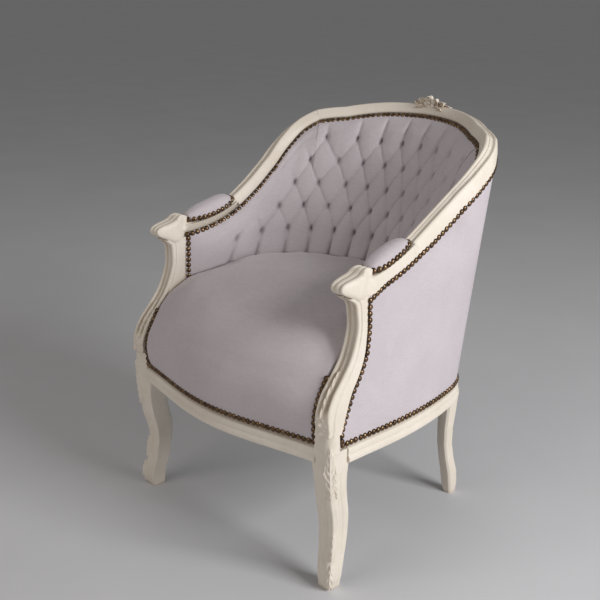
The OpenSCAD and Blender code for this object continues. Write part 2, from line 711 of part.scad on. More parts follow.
function pad_back(s, u, z) =
  let (a = abs(s), k = max(a - pad_turn_share, 0) / (post_share - pad_turn_share),
       p = at_frame(min(a, pad_turn_share), u, z),
       q = [top_half_w - pad_end_in + (pad_rear + u) / 2, inside_start_y + gap, z], w = mix(p, q, k))
  s < 0 ? mirrored(w) : w;

module tufted_back() {
  n = tuft_col_n * col_steps;
  color(cloth_colour) placed() swept([for (i = [-n:n])
    let (k = i / col_steps, s = lattice_s(k), in = 3 * max(abs(s) - post_share + 1, 0) * gap * 4)
    concat(
      [at_inside(s, 0, pad_low_z)],
      [for (j = [0:face_steps + 1]) face_point(k, j)],
      [at_top(s, -top_in - in, -ledge_drop - strip_h),
       pad_back(s, -pad_rear, tack_z + tack_h + cloth_t), pad_back(s, -pad_rear, pad_low_z)])],
    face_steps + 3);
}

lining_t = 2;
lining_end_share = 6;
lining_in = 9;
lining_steps = 3;
module back_lining() {
  n = lining_end_share * col_steps / 2;
  color(lining_colour) placed() swept([for (i = [-n:n])
    let (s = lattice_s(2 * i / col_steps),
         high = at_top(s, -top_in + lining_in / 2, -ledge_drop - strip_h - lining_in / 4),
         low = pad_back(s, lining_in - pad_rear, tack_z + tack_h),
         back = concat(outward(slope(frame_path, s)), 0) * lining_t)
    concat([for (k = [0:lining_steps]) mix(low, high, k / lining_steps)],
           [for (k = [lining_steps:-1:0]) mix(low, high, k / lining_steps) + back])], lining_steps + 1);
}

// Outer covers

cover_in = rebate - gap;
cover_steps = 8;
cover_low_z = rail_z + rail_band + edge_bead + gap;
cover_top = strip_w / 2 + 4;
cover_bend_share = 3;

// Place of the front edge of an outer cover at height z, where it lies in the rebate of the post
function post_edge(z) =
  let (v = max((z - leg_top_z) / (post_joint_z - leg_top_z), 0),
       t = [for (r = post_shares) if (r[0] <= v) r], i = min(len(t), len(post_shares) - 1),
       a = post_shares[i - 1], b = post_shares[i])
  post_front_y + post_reach * mix(a[2], b[2], min((v - a[0]) / (b[0] - a[0]), 1)) + 5 * gap;
function cover_point(s, v, u) =
  let (low = at_frame(s, u - cover_in, cover_low_z), high = at_top(s, cover_top + u, -ledge_drop - 6 * gap),
       p = mix(low, high, v), k = pow(max(1 - (post_share - abs(s)) / cover_bend_share, 0), 2),
       base = mix(side_start_y, spline(top_path, post_share).y, v))
  p + [0, k * (post_edge(p.z) - base), 0];
module cover(places) {
  color(outer_colour) placed() swept([for (s = places)
    concat([for (j = [0:cover_steps]) cover_point(s, j / cover_steps, 0)],
           [for (j = [cover_steps:-1:0]) cover_point(s, j / cover_steps, cloth_t)])],
    cover_steps + 1);
}
module outer_cover_right() {
  cover(concat([for (i = [0:2]) mix(leg_mid_share + seam_share, mitre_share, i / 3)],
               [for (i = [0:20]) mix(mitre_share, post_share, i / 20)]));
}
module outer_cover_left() {
  left_side() outer_cover_right();
}
module outer_cover_back() {
  cover([for (i = [-8:8]) (leg_mid_share - seam_share) * i / 8]);
}

// Arm pads

pad_start_share = 9.15;
pad_last_share = 11;
pad_half_w = 19;
pad_points = 20;
// Height share and outline share of each ring of an arm pad
pad_shares = [[0, 0.94], [0.2, 1], [0.5, 0.95], [0.8, 0.74], [0.95, 0.45], [1, 0.15]];
function squared(x) = sign(x) * pow(abs(x), 0.7);
module arm_pad_right() {
  color(outer_colour) placed() stacked([for (r = pad_shares) [for (i = [0:pad_points - 1])
    let (a = 360 * i / pad_points)
    at_top((pad_start_share + pad_last_share) / 2 + squared(cos(a)) * (pad_last_share - pad_start_share) / 2 * mix(1, r[1], 0.8),
           squared(sin(a)) * pad_half_w * r[1], pad_seat_h - ledge_drop + gap + arm_pad_h * r[0])]]);
}
module arm_pad_left() {
  left_side() arm_pad_right();
}

// Dust cover under the seat

dust_t = 1;
dust_inset = 8;
module dust_cover() {
  color(dust_colour) placed() translate([0, 0, rail_z - dust_t]) linear_extrude(dust_t) difference() {
    polygon(concat(
      [for (i = [-6:6]) let (p = at_front(i / 6 * (leg_x - leg_block / 2), -dust_inset, 0)) [p.x, p.y]],
      [for (i = [0:24]) let (s = 10.9 - i * 21.8 / 24, p = at_frame(s, -dust_inset, 0)) [p.x, p.y]]));
    for (m = [0, 1]) mirror([m, 0]) {
      translate([leg_x - leg_block / 2 - 1, leg_y - leg_block / 2 - over])
        square([leg_block + over, leg_block + over + 1]);
      translate([rear_leg_x - rear_leg_side, rear_leg_y - rear_leg_side - over / 2])
        square([rear_leg_side * 2, rear_leg_side * 2]);
    }
  }
}

front_leg_left();
front_leg_right();
rear_leg_left();
rear_leg_right();
front_rail();
side_rail_left();
side_rail_right();
rear_rail();
corner_block_front_left();
corner_block_front_right();
corner_block_rear_left();
corner_block_rear_right();
arm_post_left();
arm_post_right();
arm_left();
arm_right();
top_rail_left();
top_rail_right();
crest_rail();
crest_carving();
tacking_rail_left();
tacking_rail_right();
tacking_rail_back();
webbing_lengthways();
webbing_crossways();
seat_hessian();
seat_pad();
seat_cover();
tufted_back();
back_lining();
arm_pad_left();
arm_pad_right();
outer_cover_left();
outer_cover_right();
outer_cover_back();
dust_cover();
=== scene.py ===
import functools
from math import atan2, copysign, cos, exp, hypot, pi, radians, sin, sqrt

import bpy
import numpy as np
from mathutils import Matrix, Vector


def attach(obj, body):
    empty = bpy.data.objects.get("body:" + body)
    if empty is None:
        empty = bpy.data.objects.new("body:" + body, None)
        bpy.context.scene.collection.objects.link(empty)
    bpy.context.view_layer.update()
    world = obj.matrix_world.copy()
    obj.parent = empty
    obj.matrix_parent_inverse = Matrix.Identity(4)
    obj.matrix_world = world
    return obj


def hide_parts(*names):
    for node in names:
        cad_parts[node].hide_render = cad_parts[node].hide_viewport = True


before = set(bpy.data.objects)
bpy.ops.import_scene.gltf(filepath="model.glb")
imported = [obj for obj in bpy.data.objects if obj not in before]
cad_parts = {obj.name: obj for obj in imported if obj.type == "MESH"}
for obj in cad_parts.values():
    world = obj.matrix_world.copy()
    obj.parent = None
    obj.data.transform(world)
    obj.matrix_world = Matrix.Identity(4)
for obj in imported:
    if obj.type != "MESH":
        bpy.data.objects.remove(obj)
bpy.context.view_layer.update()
scene = bpy.context.scene


def vec(*v):
    """A point or a direction."""
    return np.array(v)


# ----- Measures of the chair, in metres. Stations run along the horseshoe from 0 at the middle of the crest.
ARM_STATION, POST_STATION = 9, 11
# From the chair's own measures, which start at the front feet, to the middle of the frame
SHIFT = -0.2608
OFFSET = vec(0, SHIFT, 0)
GAP = 0.0003
TOP_HALF_W, TOP_DEPTH, CREST_Z, ARM_Z, RAIL_START = 0.267, 0.551, 0.798, 0.577, 0.021
TUB_HALF_W, TUB_DEPTH, SIDE_START = 0.3, 0.459, 0.014
SEAT_HALF_W, SEAT_DEPTH, INSIDE_START = 0.236, 0.316, 0.084
RAIL_Z, RAIL_BAND, REBATE, BEAD = 0.257, 0.028, 0.0065, 0.0025
FRONT_EDGE, FRONT_BOW = -0.025, 0.04
LEG_BLOCK, LEG_TOP = 0.058, 0.319
LEG_X = TUB_HALF_W + BEAD / 2 - LEG_BLOCK / 2
FRONT_HALF = LEG_X - LEG_BLOCK / 4
CROWN_Z, SEAT_BACK_Z, SEAT_FRONT_Z, SEAT_CREST_Y = 0.508, 0.49, 0.428, 0.25
DOME_POWER = 2.2
FRONT_ROLL, ROLL_REACH, SIDE_DROP = 0.082, 0.135, 0.018
TUFT_ROW, TUFT_PUFF, TUFT_ROWS, TUFT_COLS = 0.047, 0.015, 5, 8
POST_FRONT, POST_REACH, POST_JOINT, POST_TOP_W = -0.029, 0.128, 0.556, 0.036
POST_IN = LEG_X + LEG_BLOCK / 2 - 0.045
MOULD_W, MOULD_H, STRIP_W, STRIP_H, LEDGE = 0.036, 0.023, 0.022, 0.025, 0.009
MITRE, MITRE_REACH, ARM_REACH, MITRE_OUT = 4.2, 0.9, 2.6, 0.0065

TOP = [(0, 1, 1), (.217, .989, .995), (.431, .955, .982), (.64, .895, .946), (.846, .809, .878),
       (.97, .728, .774), (1, .637, .624), (.981, .537, .448), (.963, .441, .285),
       (.959, .341, .14), (.97, .232, .045), (1, .116, 0), (1.015, .016, .014)]
SEAT_FRAME = [(0, 1), (.22, .996), (.42, .98), (.613, .948), (.787, .858), (.873, .763),
              (.927, .641), (.967, .51), (.99, .383), (1, .257), (1, .129), (1, 0)]
INSIDE = [(0, 1), (.174, .985), (.352, .942), (.508, .88), (.669, .802), (.775, .712),
          (.869, .611), (.941, .509), (.983, .383), (.992, .26), (1.01, .13), (1.07, 0)]
# Height, front, edge of the outer cover and rear of an arm post
POST = [(0, 0, .22, .4), (.15, 0, .34, .51), (.287, .114, .464, .615), (.413, .311, .626, .783),
        (.548, .498, .744, .892), (.734, .63, .803, .961), (.878, .635, .813, .97), (1, .6, .833, .99)]
# Height, half side, lean to the outer corner, share of the width across it and shift aside of a front leg
FRONT_LEG = [(0, .26, .045, .99, 0), (.03, .29, .06, .86, 0), (.09, .335, .085, .82, .008),
             (.16, .345, .05, .85, .02), (.245, .34, -.035, .9, .045), (.35, .35, -.08, .92, .07),
             (.45, .35, -.125, .95, .085), (.57, .395, -.1, .9, .075), (.675, .415, -.03, .87, .045),
             (.79, .415, .02, .87, .02), (.89, .445, .025, .85, .005), (.95, .48, .01, .84, 0),
             (1, .5, 0, .84, 0)]
# Places of the tuft columns, as shares of the way from the crest to a post
TUFT_PLACES = [0, .0975, .195, .293, .4, .545, .714, .864, 1]

TOP_PATH = np.array([(a * TOP_HALF_W, RAIL_START + b * TOP_DEPTH, ARM_Z + c * (CREST_Z - ARM_Z))
                     for a, b, c in TOP])
FRAME_PATH = np.array([(a * TUB_HALF_W, SIDE_START + b * TUB_DEPTH) for a, b in SEAT_FRAME])
INSIDE_PATH = np.array([(a * SEAT_HALF_W, INSIDE_START + b * SEAT_DEPTH) for a, b in INSIDE])


def between(a, b, c, d, x):
    """Share x of the smooth curve from b to c, between a and d."""
    return b + x / 2 * ((c - a) + x * ((2 * a - 5 * b + 4 * c - d) + x * (3 * b - a - 3 * c + d)))


def curve_at(path, t):
    """A point of the smooth curve through half a path, mirrored before its first point."""
    if t < 0:
        p = curve_at(path, -t)
        return vec(-p[0], *p[1:])
    n = len(path) - 1
    i = min(int(t), n - 1)
    a = path[i - 1] if i else path[1] * np.array([-1] + [1] * (len(path[0]) - 1))
    return between(a, path[i], path[i + 1], path[min(i + 2, n)], t - i)


def unit(v):
    return np.asarray(v, float) / np.linalg.norm(v)


def slope(path, t):
    return unit(curve_at(path, t + .02) - curve_at(path, t - .02))


def outward(path, t):
    d = slope(path, t)
    return unit([-d[1], d[0], 0])


def rail_point(t):
    """Middle of the top rail, drawn out to a corner at each mitre."""
    if t < 0:
        return rail_point(-t) * vec(-1, 1, 1)
    k = max(1 - abs(t - MITRE) / (MITRE_REACH if t < MITRE else ARM_REACH), 0)
    return curve_at(TOP_PATH, t) + MITRE_OUT * k * (outward(TOP_PATH, t) + vec(0, 0, 1.1))


@functools.lru_cache(None)
def rail_axes(t):
    """Middle of the top rail, its outward and upward directions, and its own direction."""
    p, d = rail_point(t), unit(rail_point(t + .02) - rail_point(t - .02))
    s = max(min(t, POST_STATION), -POST_STATION)
    w = p - vec(*curve_at(FRAME_PATH, s), RAIL_Z + RAIL_BAND)
    up = unit(w - (w @ d) * d)
    return p, np.cross(up, d), up, d


def on_top(t, u, v):
    """A point at station t of the top rail, u outward and v upward from its middle."""
    p, out, up, _ = rail_axes(t)
    return p + u * out + v * up


def on_frame(t, u, z):
    """A point u outward from the seat frame's outer line."""
    p = vec(*curve_at(FRAME_PATH, t), z)
    return p + u * outward(FRAME_PATH, t)


def on_inside(t, u, z):
    """A point u outward from the foot of the padded wall."""
    p = vec(*curve_at(INSIDE_PATH, t), z)
    return p + u * outward(INSIDE_PATH, t)


def front_y(x):
    """Place of the bowed front rail."""
    s = min(abs(x) / FRONT_HALF, 1)
    return FRONT_EDGE - FRONT_BOW * (1 - s * s + (1 + cos(pi * s)) / 2) / 2


def smooth(x):
    x = np.clip(x, 0, 1)
    return x * x * (3 - 2 * x)


def mix(a, b, k):
    return a + (b - a) * k


def rounded_line(points, n, closed=False):
    """Points of a smooth curve through a line of points, n to a step."""
    p = np.asarray(points, float)
    m = len(p)
    out = []
    for i in range(m if closed else m - 1):
        if closed:
            a, b, c, d = (p[(i + q) % m] for q in (-1, 0, 1, 2))
        else:
            a, b, c, d = p[max(i - 1, 0)], p[i], p[i + 1], p[min(i + 2, m - 1)]
        for j in range(n):
            out.append(between(a, b, c, d, j / n))
    return np.array(out if closed else out + [p[-1]])


def seat_top(x, y):
    """Height of the domed seat."""
    y0 = FRONT_EDGE - FRONT_BOW
    k = min(max((y - y0) / (SEAT_CREST_Y - y0), 0), 1)
    b = max((y - SEAT_CREST_Y) / (INSIDE_PATH[0][1] - SEAT_CREST_Y), 0)
    a = x / SEAT_HALF_W
    return (mix(SEAT_FRONT_Z, CROWN_Z, 1 - (1 - k) ** DOME_POWER) - (CROWN_Z - SEAT_BACK_Z) * b * b
            - SIDE_DROP * a * a)


# ----- Making and finishing pieces


def deselect():
    if bpy.context.mode != "OBJECT":
        bpy.ops.object.mode_set(mode="OBJECT")
    bpy.ops.object.select_all(action="DESELECT")


def activate(piece):
    deselect()
    piece.select_set(True)
    bpy.context.view_layer.objects.active = piece


def use(piece, kind, **values):
    """Adds a modifier and applies it."""
    activate(piece)
    m = piece.modifiers.new("step", kind)
    for k, v in values.items():
        setattr(m, k, v)
    bpy.ops.object.modifier_apply(modifier=m.name)


def settle(piece):
    """Puts a piece's place, turn and scale into its mesh."""
    activate(piece)
    bpy.ops.object.transform_apply(location=True, rotation=True, scale=True)
    return piece


def opened(piece):
    """Edit mode, with the whole of a piece selected."""
    activate(piece)
    bpy.ops.object.mode_set(mode="EDIT")
    bpy.ops.mesh.select_all(action="SELECT")


def outside_out(piece):
    """Merges doubled points and turns the faces outwards."""
    opened(piece)
    bpy.ops.mesh.remove_doubles(threshold=1e-6)
    bpy.ops.mesh.normals_make_consistent(inside=False)
    bpy.ops.object.mode_set(mode="OBJECT")


def placed(name, data):
    """A new object in the scene."""
    o = bpy.data.objects.new(name, data)
    scene.collection.objects.link(o)
    return o


def rounded(piece, angle=180):
    """Smooth shading, with edges sharper than the angle left crisp."""
    activate(piece)
    if angle >= 180:
        bpy.ops.object.shade_smooth()
    else:
        bpy.ops.object.shade_smooth_by_angle(angle=radians(angle))


def finished(piece, finish, *stands_for):
    """Gives a piece its material, attaches it to the root body and hides the nodes of the frame that it
    stands for.
    """
    material, slot = finish
    piece.data.materials.clear()
    piece.data.materials.append(material)
    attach(piece, "root")
    if stands_for:
        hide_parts(*stands_for)
    return piece


def joined(pieces, name):
    deselect()
    for p in pieces:
        p.select_set(True)
    bpy.context.view_layer.objects.active = pieces[0]
    if len(pieces) > 1:
        bpy.ops.object.join()
    pieces[0].name = name
    pieces[0].data.name = name
    return pieces[0]


def skin(name, rings, angle=None, uv=None):
    """A mesh through closed rings of points, capped at both ends and shaded smooth up to the angle."""
    rings = np.asarray(rings, float)
    n, m = rings.shape[:2]
    points = rings.reshape(-1, 3) + OFFSET
    faces = []
    for i in range(n - 1):
        for j in range(m):
            a, b = i * m + j, i * m + (j + 1) % m
            faces.append((a, b, b + m, a + m))
    faces.append(tuple(range(m))[::-1])
    faces.append(tuple((n - 1) * m + j for j in range(m)))
    mesh = bpy.data.meshes.new(name)
    mesh.from_pydata([tuple(p) for p in points], [], faces)
    mesh.validate()
    piece = placed(name, mesh)
    if uv is not None:
        layer = mesh.uv_layers.new(name="cloth")
        uv = np.asarray(uv, float).reshape(-1, 2)
        for loop in mesh.loops:
            layer.data[loop.index].uv = uv[loop.vertex_index]
    outside_out(piece)
    if angle:
        rounded(piece, angle)
    return piece


SWELL_FRAMES, SWELL_PRESSURE = 20, 4


def swollen(piece, voxel, cap, free):
    """Swells a padded piece as cloth under air pressure; free gives each point's share of its move."""
    use(piece, "REMESH", mode="VOXEL", voxel_size=voxel)
    rest = np.array([v.co[:] for v in piece.data.vertices])
    cloth = piece.modifiers.new("cloth", "CLOTH")
    cloth.settings.use_pressure, cloth.settings.uniform_pressure_force = True, SWELL_PRESSURE
    cloth.settings.effector_weights.gravity = 0
    for i in range(1, SWELL_FRAMES + 1):
        scene.frame_set(i)
    shape = piece.evaluated_get(bpy.context.evaluated_depsgraph_get()).data
    move = np.array([v.co[:] for v in shape.vertices]) - rest
    far = np.maximum(np.linalg.norm(move, axis=1, keepdims=True), 1e-9)
    share = np.array([free(p) for p in rest])[:, None]
    piece.modifiers.remove(cloth)
    scene.frame_set(1)
    piece.data.vertices.foreach_set("co", (rest + move * np.minimum(1, cap / far) * share).ravel())
    piece.data.update()
    use(piece, "SUBSURF", levels=1)
    rounded(piece)


def mirrored(piece, name):
    """The same piece for the other side."""
    twin = placed(name, piece.data.copy())
    twin.scale.x = -1
    settle(twin)
    outside_out(twin)
    return twin


def both_sides(right, node, finish):
    """Finishes a right-hand piece and its twin for the left, which stand for the nodes of both sides."""
    left = mirrored(right, right.name.replace("right", "left"))
    return finished(right, finish, node + "_right"), finished(left, finish, node + "_left")


# ----- Camera, light and floor

deselect()
camera_data = bpy.data.cameras.new("camera")
camera_data.lens, camera_data.sensor_width = 61.22, 36
camera_data.clip_start = .01
camera = placed("camera", camera_data)
camera.location = (1.4378, -1.1655 + SHIFT, 1.1072)
SIGHT_TURN, SIGHT_FALL = .8183, .3202
look = Vector((-sin(SIGHT_TURN) * cos(SIGHT_FALL), cos(SIGHT_TURN) * cos(SIGHT_FALL),
               -sin(SIGHT_FALL)))
camera.rotation_euler = look.to_track_quat("-Z", "Y").to_euler()
scene.camera = camera


def lamp(name, place, target, size, power, colour):
    data = bpy.data.lights.new(name, "AREA")
    data.shape = "RECTANGLE"
    data.size, data.size_y = size
    data.energy = power
    data.color = colour
    o = placed(name, data)
    o.location = place
    o.rotation_euler = (Vector(target) - Vector(place)).to_track_quat("-Z", "Y").to_euler()


lamp("window", (3.1, .35, 1.75), (0, 0, .45), (1.5, 1.6), 101, (.98, .985, 1))
lamp("front_fill", (-.4, -3.2, 1.9), (0, 0, .4), (2.4, 1.8), 25, (1, .93, .89))
lamp("top_fill", (-.3, .2, 3.4), (0, 0, .4), (2.2, 2.2), 5, (1, .97, .95))

# Soft light all round, and a pale background that only the camera sees
world = bpy.data.worlds.new("studio")
scene.world = world
world.use_nodes = True
wn, wl = world.node_tree.nodes, world.node_tree.links
wn.clear()
w_out = wn.new("ShaderNodeOutputWorld")
w_mix = wn.new("ShaderNodeMixShader")
w_path = wn.new("ShaderNodeLightPath")
w_light, w_seen = wn.new("ShaderNodeBackground"), wn.new("ShaderNodeBackground")
for w, colour, strength in ((w_light, (.98, .97, .96, 1), .2), (w_seen, (.8, .8, .81, 1), .95)):
    w.inputs["Color"].default_value, w.inputs["Strength"].default_value = colour, strength
for i, socket in enumerate((w_path.outputs["Is Camera Ray"], w_light.outputs[0], w_seen.outputs[0])):
    wl.new(socket, w_mix.inputs[i])
wl.new(w_mix.outputs[0], w_out.inputs[0])
scene.view_settings.view_transform = "Standard"

# ----- Finishes


class Finish:
    """A material and short ways to add and join its nodes."""

    def __init__(self, name):
        self.material = bpy.data.materials.new(name)
        self.material.use_nodes = True
        self.nodes = self.material.node_tree.nodes
        self.links = self.material.node_tree.links
        self.shader = self.nodes["Principled BSDF"]
        self.place = self.add("TexCoord").outputs["Object"]

    def feed(self, socket, v):
        if isinstance(v, bpy.types.NodeSocket):
            self.links.new(v, socket)
        else:
            socket.default_value = v

    def add(self, kind, inputs=(), **values):
        node = self.nodes.new("ShaderNode" + kind)
        for k, v in values.items():
            setattr(node, k, v)
        for k, v in dict(inputs).items():
            self.feed(node.inputs[k], v)
        return node

    def set(self, **values):
        for k, v in values.items():
            self.feed(self.shader.inputs[k.replace("_", " ")], v)
        return self.material

    def ramp(self, value, stops):
        node = self.add("ValToRGB", {"Fac": value})
        while len(node.color_ramp.elements) < len(stops):
            node.color_ramp.elements.new(.5)
        for e, (p, c) in zip(node.color_ramp.elements, stops):
            e.position = p
            e.color = (*c, 1)
        return node.outputs["Color"]

    def blend(self, a, b, factor, mode="MIX"):
        node = self.add("Mix", data_type="RGBA", blend_type=mode)
        for socket, v in ((0, factor), (6, a), (7, b)):
            self.feed(node.inputs[socket], (*v, 1) if isinstance(v, tuple) else v)
        return node.outputs[2]

    def shade(self, base, value, stops, factor):
        return self.blend(base, self.ramp(value, stops), factor, "MULTIPLY")

    def sum(self, a, b, kind="ADD"):
        return self.add("Math", {0: a, 1: b}, operation=kind).outputs[0]

    def times(self, a, b):
        return self.sum(a, b, "MULTIPLY")

    def stretched(self, scale):
        return self.add("Mapping", {"Vector": self.place, "Scale": scale}).outputs[0]

    def noise(self, scale, detail, place=None, **more):
        inputs = {"Vector": place or self.place, "Scale": scale, "Detail": detail, **more}
        return self.add("TexNoise", inputs).outputs["Fac"]

    def wave(self, scale, axis, distortion):
        inputs = {"Vector": self.place, "Scale": scale, "Distortion": distortion}
        return self.add("TexWave", inputs, bands_direction=axis).outputs["Fac"]

    # Ambient occlusion: how closed in a point is, used to paint shade into hollows and creases
    def hollow_shade(self, distance):
        return self.add("AmbientOcclusion", {"Distance": distance}, samples=8).outputs["AO"]

    def spread(self, value, low, high):
        return self.add("MapRange", {"Value": value, "To Min": low, "To Max": high}).outputs[0]

    def bump(self, height, strength, distance):
        return self.add("Bump", {"Height": height, "Strength": strength, "Distance": distance}).outputs[0]


WHITE, THREADS = (1, 1, 1), 420


def linen(name, colour, dark):
    """Closely woven matte cloth with a soft mottle and a fine weave, and painted shade in its creases and
    hollows.
    """
    f = Finish(name)
    fine = f.noise(THREADS, 3, Roughness=.6)
    base = f.ramp(f.noise(9, 4, Roughness=.55), [(.3, dark), (.7, colour)])
    base = f.shade(base, fine, [(.3, (.86, .86, .86)), (.7, WHITE)], .8)
    slubs = f.noise(1, 3, f.stretched((60, 60, 700)))
    base = f.shade(base, slubs, [(.35, (.93, .93, .93)), (.65, WHITE)], .8)
    # Painted shade: the cloth turns darker where creases, tuft pits and corners close it in
    base = f.shade(base, f.hollow_shade(.016), [(.15, (.68, .65, .64)), (.75, WHITE)], 1)
    weave = f.sum(f.wave(THREADS, "X", .6), f.wave(THREADS, "Z", .6))
    return f.set(Base_Color=base, Roughness=.92, Normal=f.bump(f.sum(f.times(weave, .25), fine), .22, .0006),
                 Sheen_Weight=.25, Sheen_Roughness=.4, Specular_IOR_Level=.15)


def paint():
    """Old off-white paint with brush strokes, darker and yellower in the hollows: partly the old paint's
    patina, partly painted shade.
    """
    f = Finish("painted_wood_finish")
    brush = f.noise(4, 4, f.stretched((90, 90, 14)))
    base = f.ramp(f.noise(7, 5, Roughness=.6), [(.3, (.7, .625, .525)), (.7, (.79, .725, .635))])
    base = f.shade(base, brush, [(.35, (.93, .925, .91)), (.65, WHITE)], .7)
    # Painted shade and patina: the paint turns darker and yellower where carving and joints close in
    depth = f.ramp(f.hollow_shade(.012), [(.35, WHITE), (.85, (0, 0, 0))])
    base = f.blend(base, (.5, .405, .29), f.times(depth, .55))
    height = f.sum(f.times(brush, .8), f.times(f.noise(160, 4), .3))
    return f.set(Base_Color=base, Roughness=f.spread(brush, .42, .6), Normal=f.bump(height, .25, .0008),
                 Specular_IOR_Level=.4)


def brass():
    """Dark antique brass, brighter in spots."""
    f = Finish("antique_brass_finish")
    base = f.ramp(f.noise(95, 2), [(.3, (.06, .036, .02)), (.5, (.12, .072, .038)), (.72, (.24, .155, .085))])
    return f.set(Base_Color=base, Metallic=.85, Roughness=f.spread(f.noise(700, 3), .2, .38))


def plain(name, colour, dark, scale, rough=.8, stretch=(1, 1, 1)):
    f = Finish(name)
    grain = f.noise(scale, 5, f.stretched(stretch))
    return f.set(Base_Color=f.ramp(grain, [(.3, dark), (.7, colour)]), Roughness=rough,
                 Normal=f.bump(grain, .3, .001))


def woven(name, colour, dark, pitch):
    """Coarse woven strips or sacking."""
    f = Finish(name)
    weave = f.times(f.sum(f.wave(pitch, "X", 1), f.wave(pitch, "Y", 1)), .5)
    return f.set(Base_Color=f.ramp(weave, [(.2, dark), (.8, colour)]), Roughness=.95,
                 Normal=f.bump(weave, .5, .001))


LINEN = linen("lilac_grey_linen", (.6, .545, .565), (.545, .49, .51))
# Each finish with its slot
WOOD, COVER, UPHOLSTERY = (paint(), "painted_wood"), (LINEN, "cover_cloth"), (LINEN, "upholstery_cloth")
BRASS = (brass(), None)
WADDING = (plain("cotton_wadding", (.86, .83, .74), (.78, .74, .64), 90, .95), None)
BEECH = plain("bare_beech_finish", (.62, .46, .29), (.5, .35, .2), 60, stretch=(1, 1, 6))
WEBBING = woven("jute_webbing", (.56, .45, .29), (.36, .27, .16), 160)
SACKING = woven("hessian_sacking", (.6, .5, .34), (.4, .31, .19), 320)
DUST = woven("black_dust_cloth", (.05, .05, .055), (.03, .03, .034), 500)

# Floor
bpy.ops.mesh.primitive_plane_add(size=60, location=(0, 0, 0))
floor = bpy.context.active_object
floor.name = "floor"
pale = Finish("pale_floor")
floor.data.materials.append(pale.set(
    Base_Color=pale.ramp(pale.noise(3, 4), [(.3, (.6, .6, .61)), (.7, (.63, .63, .64))]), Roughness=.7))

# ----- Seat rails: a bead and a band below the cover's edge

# Outward and upward places round the section of a rail
RAIL = [(0, 0), (.0018, .0008), (.0026, .0034), (.0026, .0078), (.0018, .0106), (.0003, .0122),
        (-.0006, .0138), (-.0001, .0152), (0, .019), (0, .0262), (-.0008, .0276), (-.0042, .029),
        (-.0066, .0305), (-.0095, .062), (-.034, .062), (-.034, 0)]


def swept(name, places, section, at):
    """A rail whose section, a list of (u, v), is set at each place by at(place, u, v)."""
    return skin(name, [[at(s, u, v) for u, v in section] for s in places], 38)


def steps(a, b, size):
    """Even places from a to b, about size apart."""
    n = max(int(round(abs(b - a) / size)), 1)
    return [a + (b - a) * i / n for i in range(n + 1)]


def on_front(x, u, z):
    """A point u outward from the bowed line of the front rail."""
    d = unit([.005, front_y(x + .0025) - front_y(x - .0025), 0])
    return vec(x + u * d[1], front_y(x) - u * d[0], z)


BLOCK_IN = LEG_X - LEG_BLOCK / 2
RAIL_END = POST_STATION - (LEG_BLOCK / 2 - SIDE_START) / (FRAME_PATH[10][1] - FRAME_PATH[11][1])
# How far the rails run into the legs: the front rail in metres, the others in stations
FRONT_TENON, SIDE_TENON, REAR_RAIL_END, SIDE_RAIL_START = .016, .13, 2.85, 3.65
front_end = BLOCK_IN + FRONT_TENON
finished(swept("painted_front_rail", steps(-front_end, front_end, .008), RAIL,
               lambda x, u, v: on_front(x, u, RAIL_Z + v)), WOOD, "front_rail")
finished(swept("painted_rear_rail", steps(-REAR_RAIL_END, REAR_RAIL_END, .12), RAIL,
               lambda s, u, v: on_frame(s, u, RAIL_Z + v)), WOOD, "rear_rail")
both_sides(swept("painted_side_rail_right", steps(SIDE_RAIL_START, RAIL_END + SIDE_TENON, .12), RAIL,
                 lambda s, u, v: on_frame(s, u, RAIL_Z + v)), "side_rail", WOOD)

# ----- Front legs, with a carved leaf on the knee and the toe

# Plan of a leg, from its outer front corner
LEG_SECTION = [(.8, -.8), (.57, -.95), (.31, -1), (-.2, -.95), (-.6, -1), (-.9, -.97), (-1, -.8),
               (-1, .5), (-.86, .86), (-.5, 1), (.8, 1), (.97, .9), (1, .6), (.95, .2), (1, -.31),
               (.95, -.57)]
LEG_RING = rounded_line(LEG_SECTION, 8, closed=True)
LEG_TURN = np.degrees(np.arctan2(LEG_RING[:, 0] + LEG_RING[:, 1], LEG_RING[:, 0] - LEG_RING[:, 1]))
leg_curve = rounded_line(FRONT_LEG, 12)


def leaf(down, across, length, width, lobes):
    """Relief of a carved leaf: down runs from its stem to its tip, across is in metres."""
    k = down / length
    if not 0 < k < 1:
        return 0 * across
    scallop = .72 + .28 * abs(cos(pi * lobes * k))
    edge = width * sin(pi * k ** .75) ** .7 * scallop
    x = np.abs(across) / max(edge, 1e-5)
    body = np.clip(1 - x ** 3, 0, 1)
    veins = .72 + .28 * np.cos(2 * pi * (lobes * k * 1.5 + 1.4 * x))
    rib = .5 * np.exp(-(across / .0018) ** 2)
    return body * (veins + rib)


# Depth, stem height, way it grows, middle, length, width and lobes of each leaf on a leg
LEG_LEAVES = [(.0034, .292, -1, 0, .1, .017, 4), (.0022, .262, -1, .013, .07, .008, 3),
              (.003, .112, -1, 0, .05, .0085, 2), (.004, .004, 1, 0, .05, .013, 2)]
FLUTE_TURNS, FLUTE_DEPTH, FLUTE_SPREAD = (-38, 34, 58), .0016, 5.5
COLLAR_HEIGHTS, COLLAR_OUT, COLLAR_H, COLLAR_REACH = (.303, .294, .285), .0018, .003, 62
RIDGE_OUT, RIDGE_SPREAD = .0022, 9


